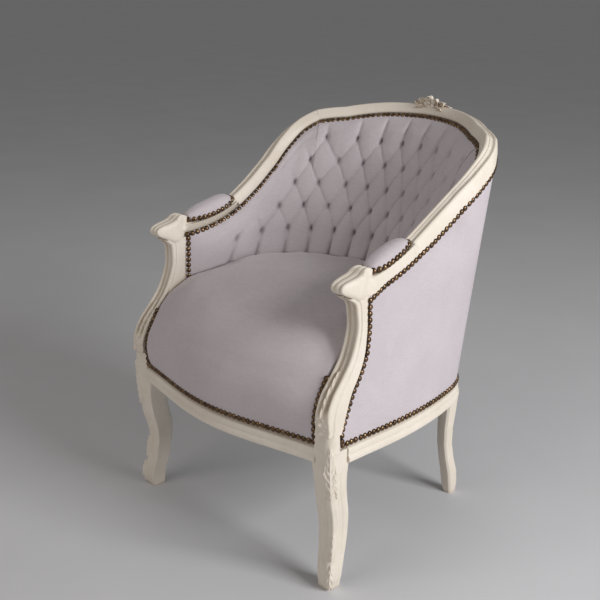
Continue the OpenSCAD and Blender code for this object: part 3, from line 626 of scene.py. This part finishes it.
def leg_relief(z, turn, radius):
    """Carving and flutes over the plain leg at height z, for angles from its outer corner."""
    across = np.radians(turn) * radius
    out = 0
    for depth, stem, way, middle, length, width, lobes in LEG_LEAVES:
        place = np.abs(across) - middle if middle else across
        out = out + depth * leaf(way * (z - stem), place, length, width, lobes)
    flute = smooth((z - .06) / .03) * smooth((.27 - z) / .05)
    for flute_turn in FLUTE_TURNS:
        out -= FLUTE_DEPTH * flute * np.exp(-((turn - flute_turn) / FLUTE_SPREAD) ** 2)
    for height in COLLAR_HEIGHTS:
        out += (COLLAR_OUT * exp(-((z - height) / COLLAR_H) ** 2)
                * np.clip(1 - (turn / COLLAR_REACH) ** 4, 0, 1))
    ridge = smooth((.2 - z) / .03) * smooth((z - .05) / .03)
    return out + RIDGE_OUT * ridge * np.exp(-(turn / RIDGE_SPREAD) ** 2)


LEG_STEP = .0016
LEG_HEIGHTS = ([i * LEG_STEP for i in range(int(RAIL_Z / LEG_STEP) + 1)]
               + [.2582, .264, .27, .276, .282, .2848, .2852, .29, .298, .306, .313, .3165, .3185, LEG_TOP])
# Above this height the leg is cut back for the post, the seat and the outer cover
LEG_CUT_Z, LEG_CUT_Y, LEG_CUT_X = .285, -.0198, .291


def front_leg():
    rings = []
    away = LEG_RING / np.linalg.norm(LEG_RING, axis=1)[:, None]
    across = (LEG_RING[:, :1] + LEG_RING[:, 1:]) / 2
    for z in LEG_HEIGHTS:
        k = min(z / RAIL_Z, 1)
        half, lean, width, aside = (np.interp(k, leg_curve[:, 0], leg_curve[:, i]) for i in (1, 2, 3, 4))
        a = half * LEG_BLOCK - .0012 * exp(-z / .0012)
        ring = vec(LEG_X + (aside + lean) * LEG_BLOCK, (aside - lean) * LEG_BLOCK)
        ring = ring + a * (LEG_RING - across * (1 - width))
        ring = ring + away * leg_relief(z, LEG_TURN, a * 1.15)[:, None]
        if z > LEG_CUT_Z:
            x, y = ring[:, 0], ring[:, 1]
            y[(x < POST_IN) & (y < LEG_CUT_Y)] = LEG_CUT_Y
            x[(y > POST_FRONT + POST[0][2] * POST_REACH) & (x > LEG_CUT_X)] = LEG_CUT_X
        rings.append([(x, y, z) for x, y in ring])
    return skin("painted_front_leg_right", rings, 42)


both_sides(front_leg(), "front_leg", WOOD)

# ----- Arm posts, fluted in front and carved with a small flower at the foot

# Section of a post: across and forward, as shares of its half width and its depth
POST_FACE = [(1, 0), (1, -.42), (.97, -.6), (.87, -.68), (.9, -.82), (.82, -.95), (.66, -1), (.52, -.93),
             (.42, -.78), (.31, -.74), (.2, -.8), (.08, -.9), (0, -.92), (-.08, -.9), (-.2, -.8),
             (-.31, -.74), (-.42, -.78), (-.52, -.93), (-.66, -1), (-.82, -.95), (-.9, -.82),
             (-.87, -.68), (-.97, -.6), (-1, -.42)]
post_face = rounded_line(POST_FACE, 3)
post_curve = rounded_line([(b, c, a, d) for a, b, c, d in POST], 10)


def post_at(v):
    return [float(np.interp(v, post_curve[:, 2], post_curve[:, i])) for i in (0, 1, 3)]


def post_sides(v):
    inner = mix(POST_IN, TOP_HALF_W - POST_TOP_W / 2, v ** 3) + POST_SLIM * (1 - smooth(v / .3))
    return inner, mix(LEG_X + LEG_BLOCK / 2, TOP_HALF_W + POST_TOP_W / 2, v)


def flower(x, z, r, petals):
    """Relief of a small carved flower."""
    d, turn = hypot(x, z) / r, atan2(z, x)
    reach = .66 + .34 * abs(cos(petals * turn / 2))
    if d > reach:
        return 0
    rings = .55 * (1 - (d / reach) ** 3) * (.7 + .3 * cos(pi * d * 2.5))
    return rings + .7 * exp(-(d / .2) ** 2)


POST_SLIM, POST_RINGS = .0045, 100
HEAD_Z, HEAD_OUT, HEAD_BACK = .532, .02, .012
FLOWER_Z, FLOWER_R, CARVED_OUT, SMALL_OUT = .339, .0165, .005, .0022


def post_carving(across, z):
    """How far the flower and the two leaves at the foot of a post stand out."""
    above = float(leaf(z - .35, np.array(across), .075, .0095, 3))
    below = float(leaf(.328 - z, np.array(across), .02, .007, 2))
    return CARVED_OUT * (flower(across, z - FLOWER_Z, FLOWER_R, 6) + above) + SMALL_OUT * below


def arm_post():
    rings = []
    for i in range(POST_RINGS + 1):
        v = i / POST_RINGS
        z = mix(LEG_TOP, POST_JOINT, v)
        front, edge, rear = post_at(v)
        f, e, r = (POST_FRONT + k * POST_REACH for k in (front, edge, rear))
        f -= HEAD_OUT * smooth((z - HEAD_Z) / .03) ** 2
        e += HEAD_BACK * smooth((z - HEAD_Z - .002) / .03) ** 2
        e -= .003 * sin(pi * min(v * 1.1, 1))
        x0, x1 = post_sides(v)
        w, x = (x1 - x0) / 2, (x0 + x1) / 2
        back = min(r - GAP, INSIDE_START - GAP)
        fluted = smooth((z - LEG_TOP - .026) / .025)
        collar = exp(-((z - .3215) / .003) ** 2) + exp(-((z - .31) / .004) ** 2)
        ring = []
        for a, b in post_face:
            plain = -1 if abs(a) < .75 else -1 + (abs(a) - .75) ** 2 * 2
            b = mix(max(plain, -1) if b < -.7 else b, b, fluted)
            y = e + b * (e - f)
            y -= post_carving((a + .15) * w, z) * (b < -.6)
            y -= SMALL_OUT * collar * (b < -.3)
            ring.append((x + a * w, y, z))
        side = x1 - REBATE - BEAD - GAP
        ring += [(x - w, back, z), (x - w + REBATE, back + GAP / 2, z), (x - w + REBATE, r, z),
                 (side, r, z), (side, e + GAP / 2, z)]
        rings.append(ring)
    return skin("painted_arm_post_right", rings, 42)


both_sides(arm_post(), "arm_post", WOOD)

# ----- Top rail and arms

COVER_TOP, BAND_H, ARM_BAND_H, POST_BAND_H = STRIP_W / 2 + .004, .0115, .007, .008
# Outward and upward places round the moulding, as shares of its width and height
MOULDING = [(-.44, 0), (-.49, .08), (-.5, .22), (-.47, .42), (-.4, .62), (-.325, .8), (-.27, .92),
            (-.21, .99), (-.15, 1), (-.095, .96), (-.055, .88), (-.03, .85), (0, .865), (.035, .85),
            (.085, .76), (.14, .69), (.2, .685), (.25, .73), (.3, .77), (.35, .75), (.4, .66), (.44, .5),
            (.465, .3)]
moulding = rounded_line(MOULDING, 2)
# The moulding is lower and wider under an arm pad, between these two stations
LOW_SHARE, LOW_START, LOW_END, WIDER = .74, 8.8, 10.86, .2
JOINT = .004


def band_height(s):
    """Wood between the moulding and the cover, narrower along the arms and rounded into the post."""
    turn = min(max(abs(s) - 10.2, 0) / .62, 1)
    return mix(BAND_H, ARM_BAND_H, smooth((abs(s) - 8) / .8)) + POST_BAND_H * turn ** 2


def pad_limit(s):
    """Share of the moulding's height that is left under the arm pad."""
    if s < (LOW_START + LOW_END) / 2:
        return mix(1, LOW_SHARE, smooth((s - LOW_START) / .07))
    return mix(LOW_SHARE, 1, smooth((s - LOW_END) / .12))


def rail_section(s=0):
    """Section of the top rail at station s: moulding, band and strip."""
    limit = pad_limit(s)
    under_pad = 1 - min(max((limit - LOW_SHARE) / (1 - LOW_SHARE), 0), 1)
    top = []
    for u, v in moulding:
        v = min(v, limit - .03 * (1 - min(v, 1)))
        edge = under_pad * (smooth((u - .28) / .14) + smooth((-u - .38) / .1))
        shoulder = max(v, .72 - 9 * (abs(u) - .39) ** 2)
        top.append((u * MOULD_W * (1 + WIDER * edge), -LEDGE + mix(v, shoulder, edge) * MOULD_H))
    half, band, low = STRIP_W / 2, COVER_TOP + .0026, -LEDGE - band_height(s)
    return ([(-half, -LEDGE - STRIP_H), (-half, -LEDGE)] + top + [(band + .0004, -LEDGE - .001), (band, low),
            (COVER_TOP, low), (half, low - .001), (half, -LEDGE - STRIP_H)])


def rail_skin(name, stations, angle=None):
    return skin(name, [[on_top(s, u, v) for u, v in rail_section(s)] for s in stations], angle)


crest_end = MITRE - JOINT
finished(rail_skin("painted_crest_rail", steps(-crest_end, crest_end, .1)), WOOD, "crest_rail")
both_sides(rail_skin("painted_top_rail_right", steps(MITRE + JOINT, LOW_START, .1)
                     + steps(LOW_START + .02, ARM_STATION - JOINT / 2, .02), 38), "top_rail", WOOD)

# Forward and upward places round the scroll at the end of an arm, and its middle
KNUCKLE = [(.094, .5975), (.086, .602), (.078, .6035), (.07, .6015), (.062, .5955), (.052, .592),
           (.04, .5895), (.029, .587), (.0205, .5835), (.0158, .578), (.016, .572), (.0205, .5665),
           (.028, .562), (.037, .5575), (.046, .553), (.054, .5485), (.07, .547), (.09, .551)]
KNUCKLE_MID, KNUCKLE_HALF_W, KNUCKLE_RINGS = vec(.052, .573), .0212, 80
ARM_END, CORE_V = 11.5, .012


def knuckle():
    """Rolled end of an arm: three rounded ribs that turn over and under the front."""
    line = rounded_line(KNUCKLE, 5)
    rings = []
    for i in range(KNUCKLE_RINGS + 1):
        a = 2 * i / KNUCKLE_RINGS - 1
        rib = abs(cos(1.5 * pi * a)) ** .55
        end = sqrt(max(1 - (max(abs(a) - .7, 0) / .3) ** 2, 0))
        ring = KNUCKLE_MID + (line - KNUCKLE_MID) * (.89 + .11 * rib) * (.5 + .5 * end)
        y = ring[:, 0]
        taper = mix(.84, 1, smooth((y - .012) / .04)) * mix(1, .74, smooth((y - .062) / .022))
        rings.append([(TOP_HALF_W + a * KNUCKLE_HALF_W * w, y, z) for (y, z), w in zip(ring, taper)])
    return skin("knuckle", rings, 70)


def arm():
    rings = []
    for s in steps(ARM_STATION + JOINT / 2, ARM_END, .07):
        k = 1 - .45 * smooth((s - 11.1) / .35)
        rings.append([on_top(s, u * k, (v + CORE_V) * k - CORE_V) for u, v in rail_section(s)])
    return joined([skin("painted_arm_right", rings, 45), knuckle()], "painted_arm_right")


both_sides(arm(), "arm", WOOD)

# ----- The rear legs keep the shape of their solids, with eased edges; what is hidden keeps its solid

for node in ("rear_leg_left", "rear_leg_right"):
    piece = placed("painted_" + node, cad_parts[node].data.copy())
    opened(piece)
    bpy.ops.mesh.remove_doubles(threshold=1e-5)
    bpy.ops.mesh.tris_convert_to_quads(face_threshold=radians(50), shape_threshold=radians(60))
    bpy.ops.object.mode_set(mode="OBJECT")
    use(piece, "BEVEL", width=.0016, segments=2, limit_method="ANGLE", angle_limit=radians(32))
    rounded(piece, 55)
    finished(piece, WOOD, node)
for nodes, material in (
        (["corner_block_front_left", "corner_block_front_right", "corner_block_rear_left",
          "corner_block_rear_right", "tacking_rail_left", "tacking_rail_right", "tacking_rail_back"], BEECH),
        (["webbing_lengthways", "webbing_crossways"], WEBBING), (["seat_hessian", "back_lining"], SACKING),
        (["dust_cover"], DUST)):
    for node in nodes:
        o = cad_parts[node]
        o.data.materials.clear()
        o.data.materials.append(material)

# ----- Carved crest: a flower between leaves


PETAL_RINGS, PETAL_ACROSS, PETAL_THICK = 22, 15, .0048
# Turn, length, width and forward curl of each leaf, and its shift to the right and to the rear
CREST_LEAVES = [(0, .0275, .024, .9, 0, 0), (-36, .0275, .022, .9, -.008, 0), (36, .0285, .022, .9, .008, 0),
                (-66, .031, .019, .7, -.012, .001), (66, .036, .019, .7, .013, .001),
                (-84, .033, .017, .45, -.017, .004), (84, .041, .016, .45, .018, .004),
                (-96, .025, .014, .6, -.012, -.006), (96, .03, .014, .6, .012, -.006)]
CREST_FOOT = vec(.003, curve_at(TOP_PATH, 0)[1] + .003, CREST_Z + .0115)
BUD_R, BUD_RING, BUD_MID_R = .0072, .0098, .0042


def petal(length, width, curl):
    """A carved leaf from its foot at the origin up along Z, bent forward to -Y at its tip."""
    rings = []
    for i in range(PETAL_RINGS + 1):
        k = i / PETAL_RINGS
        half = width / 2 * sin(pi * min(k, .999) ** .72) ** .75
        half = max(half * (.84 + .16 * abs(cos(2.5 * pi * k))), .0008)
        lean = curl * k * k
        mid = vec(0, -length * .5 * lean, length * (k - .12 * lean * k))
        front, back = [], []
        for j in range(PETAL_ACROSS):
            x = 2 * j / (PETAL_ACROSS - 1) - 1
            rib = .3 * cos(3 * pi * x) + .5 * exp(-(x / .16) ** 2)
            d = PETAL_THICK * (sqrt(max(1 - x * x, 0)) * (1 + rib)) * sin(pi * (.12 + .82 * k))
            cup = PETAL_THICK * 1.2 * x * x
            front.append(mid + vec(half * x, -d - cup, 0))
            back.append(mid + vec(half * x, PETAL_THICK * .9 * (1 - x * x) - cup, 0))
        rings.append(front + back[::-1])
    return rings


def ball(at, radius, scale=(1, 1, 1)):
    bpy.ops.mesh.primitive_uv_sphere_add(segments=18, ring_count=12, radius=radius,
                                         location=tuple(at + OFFSET))
    o = bpy.context.active_object
    o.scale = scale
    return settle(o)


def crest_carving():
    pieces = []
    for turn, length, width, curl, dx, dy in CREST_LEAVES:
        a = radians(turn)
        spin = np.array([[cos(a), 0, sin(a)], [0, 1, 0], [-sin(a), 0, cos(a)]])
        foot = CREST_FOOT + vec(dx, dy - .004, -.002)
        pieces.append(skin("petal", [[spin @ p + foot for p in r] for r in petal(length, width, curl)]))
    centre = CREST_FOOT + vec(0, -.011, .008)
    for i in range(6):
        a = pi * 2 * i / 6 + .3
        spot = centre + vec(BUD_RING * cos(a), -.001, BUD_RING * sin(a))
        pieces.append(ball(spot, BUD_R, (.9, .6, .9)))
    pieces.append(ball(centre + vec(0, -.003, 0), BUD_MID_R))
    piece = joined(pieces, "painted_crest_carving")
    rounded(piece, 60)
    return finished(piece, WOOD, "crest_carving")


crest_carving()

# ----- Tufted inside back

TUFT_PATH = np.array([[POST_STATION * p] for p in TUFT_PLACES])
HEAD_U, HEAD_V, REAR_U, PAD_SWELL = -.0185, -.0105, -.042, .006
COL_SPLIT, FACE_N = 28, 184
REAR_Z, REAR_FOOT_Z = .385, .336


def lattice_s(k):
    """Station of place k of the tufts along the horseshoe."""
    return copysign(POST_STATION if abs(k) >= TUFT_COLS else curve_at(TUFT_PATH, abs(k))[0], k)


def tuft_relief(k, z, high):
    """Puff of the padding at lattice place k, for heights z over the foot of the face."""
    r = (z - .007) / TUFT_ROW
    c = np.clip(r, 1, TUFT_ROWS)
    p, q = k + c / 2, k - c / 2
    fp, fq = p - np.round(p), q - np.round(q)
    side = (fp + fq) / 2 * 50
    past = np.maximum(r - TUFT_ROWS, 0) + np.maximum(1 - r, 0)
    down = (np.abs(fp - fq) + past) * 47
    pit = np.exp(-((side / 3.6) ** 2 + (np.maximum(down - 1, 0) / 6.5) ** 2))
    funnel = np.exp(-np.sqrt((side / 9) ** 2 + (down / 14) ** 2))
    pillow = (np.abs(np.sin(pi * fp)) * np.abs(np.sin(pi * fq))) ** .6
    groove = (1 - np.exp(-np.abs(fp) / .045)) * (1 - np.exp(-np.abs(fq) / .045))
    fold = .15 + .3 * np.clip(past * 1.4, 0, 1)
    height = .3 * (1 - pit) + .3 * (1 - funnel) + .25 * pillow + fold * groove - (fold - .15) * .6
    reach = np.interp(c, [1, 2, 3, 4, 5], [6.5, 5, 4.6, 4.1, 3.7])
    w = smooth((reach + .6 - abs(k)) / .7)
    relief = mix(.75, height, w) - .18 * pit * w
    return relief * smooth((high - z) / (TUFT_ROW * .8)) * smooth((TUFT_COLS - abs(k)) / .9)


def pad_back(s, z):
    """A point of the hidden rear face of the padding."""
    a = abs(s)
    k = max(a - ARM_STATION, 0) / 2
    p = on_frame(min(a, ARM_STATION), REAR_U, z)
    w = mix(p, vec(TOP_HALF_W - .009, INSIDE_START + GAP, z), k)
    return vec(-w[0], w[1], w[2]) if s < 0 else w


def back_column(k):
    """Points of the padded face at lattice place k, from the seat up to the rail."""
    s = lattice_s(k)
    z0 = seat_top(*curve_at(INSIDE_PATH, s)) - .004
    foot, head = on_inside(s, 0, z0), on_top(s, HEAD_U, HEAD_V)
    high = head[2] - z0
    share = np.linspace(0, 1, FACE_N) ** .97
    z = share * high
    near = smooth(.35 + z / .01)
    end = smooth((TUFT_COLS - abs(k)) / .9)
    d = TUFT_PUFF * tuft_relief(k, z, high) * near + PAD_SWELL * np.sin(pi * share) * end
    d += .004 * np.exp(-((high - z - .012) / .009) ** 2) * end - .003 * np.exp(-(high - z) / .004) * end
    return foot + (head - foot) * share[:, None] - outward(INSIDE_PATH, s) * d[:, None], s, z


def tufted_back():
    rings, cloth = [], []
    n = TUFT_COLS * COL_SPLIT
    for i in range(-n, n + 1):
        face, s, z = back_column(i / COL_SPLIT)
        tail = .0036 * max(abs(s) - 10, 0)
        rear = [on_top(s, -.0122 - tail, -.034), pad_back(s, REAR_Z), pad_back(s, REAR_FOOT_Z)]
        rings.append([on_inside(s, 0, REAR_FOOT_Z)] + list(face) + rear)
        cloth.append([(s * .05, -.1)] + [(s * .05, v) for v in z] + [(s * .05, .3)] * 3)
    piece = finished(skin("tufted_back_cloth", rings, 80, cloth), UPHOLSTERY, "tufted_back")


tufted_back()

# ----- Seat

CORNER_X, SEAT_SIDE_ROLL, SEAT_LOW = POST_IN - 6 * GAP, .018, .3243
SKIRT_IN, SKIRT_Z = REBATE - 3 * GAP - .002, RAIL_Z + RAIL_BAND + .005
CORNER_Y = front_y(CORNER_X) + SKIRT_IN
SEAT_MID = vec(0, (INSIDE_PATH[0][1] + FRONT_EDGE) / 2)
# Rings up the wall of the seat, over its roll and in to its middle
WALL_RINGS, ROLL_RINGS, TOP_RINGS = 16, 28, 22


def seat_half():
    """Outline of the seat from the middle of its front round to the middle of its rear."""
    xs = [CORNER_X * sin(pi / 2 * i / 44) for i in range(45)]
    pts = [(x, front_y(x) + SKIRT_IN) for x in xs] + [(CORNER_X, CORNER_Y + .001)]
    pts += [(CORNER_X, mix(CORNER_Y + .001, INSIDE_START / 2, (i / 24) ** 1.3)) for i in range(1, 25)]
    for i in range(6 * POST_STATION + 1):
        s = POST_STATION - i / 6
        pts.append(tuple(curve_at(INSIDE_PATH, s) - GAP * outward(INSIDE_PATH, s)[:2]))
    return pts


def edge_drop(d, r, reach=1):
    """Fall of an edge rounded to radius r, at distance d inside it."""
    return r * (1 - sqrt(1 - (1 - min(max(d / (r * reach), 0), 1)) ** 2))


def seat_z(q, d_side):
    """Height of the cover: the dome, rounded over at the front and at the sides."""
    d_front = q[1] - front_y(q[0]) - SKIRT_IN
    corner = smooth((abs(q[0]) - .15) / .1)
    side = mix(SEAT_SIDE_ROLL, .006, smooth((q[1] - INSIDE_START * .5) / .06))
    front = edge_drop(d_front, mix(FRONT_ROLL, .1, corner), 1 + .1 * corner)
    return seat_top(*q) - (front ** 4 + edge_drop(d_side, side) ** 4) ** .25


def seat_at(p, inward, inset):
    """A point of the cover, inset from its outline point p towards the middle."""
    d = unit(SEAT_MID - np.asarray(p))
    q = np.asarray(p) + d * inset
    side = CORNER_X - abs(q[0]) if p[1] < INSIDE_START * .6 else inset * max(d @ inward, .3)
    return vec(q[0], q[1], seat_z(q, side))


def front_swell(q):
    """The cloth stands out a little between its nails and the place where it turns over."""
    d = q[1] - front_y(q[0]) - SKIRT_IN
    out = sin(pi * min(max((q[2] - SKIRT_Z) / .11, 0), 1)) * (1 - smooth(d / .05))
    out = .0055 * out + .0012 * (q[2] < SKIRT_Z + .1) * (d < .01)
    return q - vec(0, out * smooth((CORNER_X + .004 - abs(q[0])) / .01), 0)


def seat_skin(name, shrink=1, sink=0):
    half = seat_half()
    outline = half + [(-x, y) for x, y in half[-2:0:-1]]
    n = len(outline)
    rings = [[] for _ in range(WALL_RINGS + 1 + ROLL_RINGS + TOP_RINGS)]
    for i, p in enumerate(outline):
        a, b = outline[i - 1], outline[(i + 1) % n]
        inward = unit([a[1] - b[1], b[0] - a[0]])
        far = np.linalg.norm(np.asarray(p) - SEAT_MID)
        roll = mix(FRONT_ROLL, SEAT_SIDE_ROLL, smooth((p[1] - FRONT_EDGE) / ROLL_REACH))
        edge = seat_at(p, inward, 0)[2]
        low = SKIRT_Z if p[1] <= CORNER_Y + .0005 else SEAT_LOW
        column = [vec(*p, mix(low, edge, k / WALL_RINGS)) for k in range(WALL_RINGS + 1)]
        column += [seat_at(p, inward, roll * (k / ROLL_RINGS) ** 1.8) for k in range(1, ROLL_RINGS + 1)]
        column += [seat_at(p, inward, mix(roll, far, .985 * (k / TOP_RINGS) ** .9))
                   for k in range(1, TOP_RINGS + 1)]
        for ring, q in zip(rings, column):
            q = front_swell(q)
            soft = sin(q[0] * 31 + 1.3 * sin(q[1] * 23)) * sin(q[1] * 27 + q[0] * 11)
            q = q + vec(0, 0, .0011 * soft * smooth((q[2] - .36) / .06))
            if sink:
                q = vec(*(SEAT_MID + (q[:2] - SEAT_MID) * shrink), max(q[2] - sink, SEAT_LOW))
            ring.append(q)
    return skin(name, rings, 60)


def seat_free(q):
    """Share of its swelling that a point of the seat takes: none along the nails and the frame."""
    return smooth((CORNER_X - .008 - abs(q[0])) / .05) * smooth((q[2] - .37) / .05)


seat = finished(seat_skin("seat_cloth"), UPHOLSTERY, "seat_cover")
swollen(seat, .006, .006, seat_free)
wadding = finished(seat_skin("seat_wadding", .985, .004), WADDING, "seat_pad")

# ----- Arm pads

PAD_START, PAD_LAST, PAD_HALF_W, PAD_FOOT, PAD_H = 8.9, 10.84, .0225, .0083, .03
PAD_POINTS, PLAIN_SHARE = 96, .9
# Height and width up the side of a pad, as shares
PAD_SIDE = [(0, .93), (.06, .97), (.18, 1), (.34, .99), (.5, .95), (.64, .88), (.76, .78), (.86, .65),
            (.93, .5), (.97, .34), (1, .15)]


def squared(x):
    """Fills out the corners of a round outline."""
    return copysign(abs(x) ** .7, x)


def pad_place(turn, w, h):
    """Station, place across and height of a point of a pad, with width and height as shares."""
    t = (PAD_START + PAD_LAST) / 2 + squared(cos(turn)) * (PAD_LAST - PAD_START) / 2 * w ** 1.2
    return t, squared(sin(turn)) * PAD_HALF_W * w, PAD_FOOT + PAD_H * h


def arm_pad():
    full = PLAIN_SHARE
    piece = skin("arm_pad_cloth_right", [[on_top(*pad_place(2 * pi * i / PAD_POINTS, w, h * full))
                                          for i in range(PAD_POINTS)] for h, w in rounded_line(PAD_SIDE, 3)],
                 180)
    line = np.array([on_top(s, 0, PAD_FOOT) for s in steps(PAD_START, PAD_LAST, .1)])[::-1]

    def free(q):
        return smooth((q[2] - np.interp(q[1], line[:, 1], line[:, 2]) - .003) / .01)

    swollen(piece, .004, .005, free)
    return piece


for piece in both_sides(arm_pad(), "arm_pad", COVER):
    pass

# ----- Outer covers, stretched from the top rail down to the seat rails

COVER_LOW, COVER_THICK, COVER_ROWS = RAIL_Z + RAIL_BAND + BEAD + GAP, .002, 44
# Stations where the rear cover ends and the side covers start
BACK_END, SIDE_END = 3.246, 3.254


def post_edge(z):
    """Place of a post's rear outer edge at height z."""
    v = max((z - LEG_TOP) / (POST_JOINT - LEG_TOP), 0)
    i = min(max(sum(1 for r in POST if r[0] <= v), 1), len(POST) - 1)
    a, b = POST[i - 1], POST[i]
    return POST_FRONT + POST_REACH * mix(a[2], b[2], min((v - a[0]) / (b[0] - a[0]), 1)) + .0015


@functools.lru_cache(None)
def cover_ends(s, u):
    """Lower and upper edge of the cover at station s, u outward from the frame."""
    return on_frame(s, u - REBATE + GAP, COVER_LOW), on_top(s, COVER_TOP + u, -LEDGE - 6 * GAP)


def cover_point(s, v, u):
    low, high = cover_ends(s, u)
    p = mix(low, high, v)
    k = max(1 - (POST_STATION - abs(s)) / 3, 0) ** 2
    base = mix(SIDE_START, curve_at(TOP_PATH, POST_STATION)[1], v)
    return p + vec(0, k * (post_edge(p[2]) - base), 0)


def cover_drop(s, d):
    """Height share of the place d under the top edge of the cover."""
    low, high = cover_ends(s, 0)
    return 1 - d / np.linalg.norm(high - low)


def cover(name, places):
    rings = []
    for s in places:
        top = cover_drop(s, band_height(s) - COVER_THICK)
        shares = [top * j / COVER_ROWS for j in range(COVER_ROWS + 1)]
        rings.append([cover_point(s, v, COVER_THICK) for v in shares]
                     + [cover_point(s, v, 0) for v in shares[::-1]])
    return skin(name, rings, 50)


def cover_area(piece):
    return sum(p.area for p in piece.data.polygons) / 2


right = cover("outer_cloth_right", steps(SIDE_END, MITRE, .08) + steps(MITRE, POST_STATION, .07)[1:])
covers = [*both_sides(right, "outer_cover", COVER),
          finished(cover("outer_cloth_back", steps(-BACK_END, BACK_END, .07)), COVER, "outer_cover_back")]
for piece, flat in zip(covers, ((.56, .5), (.56, .5), (.43, .52))):
    round(min(cover_area(piece), flat[0] * flat[1]), 3)

# ----- Nails, close together along every edge of the covers

NAIL_PITCH, NAIL_R, NAIL_H, NAIL_IN = .0116, .006, .0042, .0058
# Last stations of the rows, heights of the rows up the posts, and half length of the row on the seat
INNER_END, OUTER_END, FOOT_END = 10.93, 10.82, 10.86
INNER_POST_ZS, OUTER_POST_ZS, SEAT_NAIL_X = (.552, .458), (.545, .302), .2545


def nail_head():
    """One domed nail head, pointing up."""
    bpy.ops.mesh.primitive_uv_sphere_add(segments=10, ring_count=8, radius=NAIL_R)
    o = bpy.context.active_object
    opened(o)
    bpy.ops.mesh.bisect(plane_co=(0, 0, 0), plane_no=(0, 0, 1), clear_inner=True, use_fill=True)
    bpy.ops.object.mode_set(mode="OBJECT")
    o.scale = (1, 1, NAIL_H / NAIL_R)
    return settle(o)


deselect()
head = nail_head()
HEAD_POINTS = np.array([v.co[:] for v in head.data.vertices])
HEAD_FACES = [tuple(p.vertices) for p in head.data.polygons]
bpy.data.objects.remove(head)


def nails(name, places):
    """Nail heads at (point, normal) pairs, as one piece."""
    points, faces = [], []
    for at, normal in places:
        z = unit(normal)
        x = unit(np.cross([.3, .2, 1] if abs(z[2]) < .9 else [1, 0, 0], z))
        turn = np.column_stack([x, np.cross(z, x), z])
        base = len(points)
        points += [tuple(turn @ h + at + OFFSET) for h in HEAD_POINTS]
        faces += [tuple(base + i for i in f) for f in HEAD_FACES]
    mesh = bpy.data.meshes.new(name)
    mesh.from_pydata(points, [], faces)
    piece = finished(placed(name, mesh), BRASS)
    rounded(piece, 60)


def spaced(path):
    """Places a nail apart along a path function over 0..1 that gives (point, normal)."""
    fine = [path(i / 600) for i in range(601)]
    pts = np.array([f[0] for f in fine])
    run = np.concatenate([[0], np.cumsum(np.linalg.norm(np.diff(pts, axis=0), axis=1))])
    count = max(int(round(run[-1] / NAIL_PITCH)), 1)
    return [fine[min(int(np.searchsorted(run, run[-1] * i / count)), 600)] for i in range(count + 1)]


def inner_top(a):
    p, out, up, _ = rail_axes(mix(-INNER_END, INNER_END, a))
    return p + (HEAD_U - .0012) * out - .0145 * up, -.9 * out + .45 * up


def inner_post(a):
    z = mix(*INNER_POST_ZS, a)
    x1, _, z1 = on_top(POST_STATION, HEAD_U, HEAD_V)
    z0 = seat_top(*curve_at(INSIDE_PATH, POST_STATION)) - .004
    x = np.interp(z, [z0, z1], [on_inside(POST_STATION, 0, 0)[0], x1])
    return vec(-x + .0016, INSIDE_START + NAIL_IN, z), (1, -.1, 0)


def outer_top(a):
    s = mix(-OUTER_END, OUTER_END, a)
    return cover_point(s, cover_drop(s, band_height(s) + .0055), COVER_THICK), rail_axes(s)[1]


def outer_post(a):
    z = mix(*OUTER_POST_ZS, a)
    q = cover_point(FOOT_END, (z - COVER_LOW) / (.566 - COVER_LOW), COVER_THICK)
    return vec(q[0] + .0022, post_edge(z) + .0026, z), (1, -.1, 0)


def outer_foot(a):
    s = mix(-FOOT_END, FOOT_END, a)
    q = cover_point(s, .022, COVER_THICK)
    q[2] = COVER_LOW + NAIL_IN
    return q, outward(FRAME_PATH, s)


def seat_front(a):
    x = mix(-SEAT_NAIL_X, SEAT_NAIL_X, a)
    dy = (front_y(x + .002) - front_y(x - .002)) / .004
    return front_swell(vec(x, front_y(x) + SKIRT_IN, SKIRT_Z + .006)), unit([dy, -1, 0])


def seat_side(a):
    """Up the front corner of the seat, beside the post."""
    x, z = SEAT_NAIL_X - .001, mix(SKIRT_Z + .0175, .409, a)
    d = 0
    while seat_z((x, CORNER_Y + d), .006) < z:
        d += .0004
    return front_swell(vec(x + .001, CORNER_Y + d, z)), (.1, -1, smooth((z - .36) / .09))


def other_side(places):
    flip = vec(-1, 1, 1)
    return [(p * flip, np.asarray(n) * flip) for p, n in places]


def pad_ring(a):
    turn = 2 * pi * a
    t, u, v = pad_place(turn, .985, .19)
    p, out, up, along = rail_axes(t)
    normal = squared(sin(turn)) * out + squared(cos(turn)) * along + .15 * up
    return p + u * out + v * up, unit(normal)


inner_row, outer_row, seat_row, ring = (spaced(f) for f in (inner_post, outer_post, seat_side, pad_ring))
for name, places in (
        ("back_inner", spaced(inner_top)), ("post_inner_left", inner_row),
        ("post_inner_right", other_side(inner_row)), ("outer_top", spaced(outer_top)),
        ("outer_post_right", outer_row), ("outer_post_left", other_side(outer_row)),
        ("outer_foot", spaced(outer_foot)),
        ("seat_front", spaced(seat_front) + seat_row + other_side(seat_row)),
        ("arm_pad_right", ring[:-1]), ("arm_pad_left", other_side(ring[:-1]))):
    nails("nails_" + name, places)
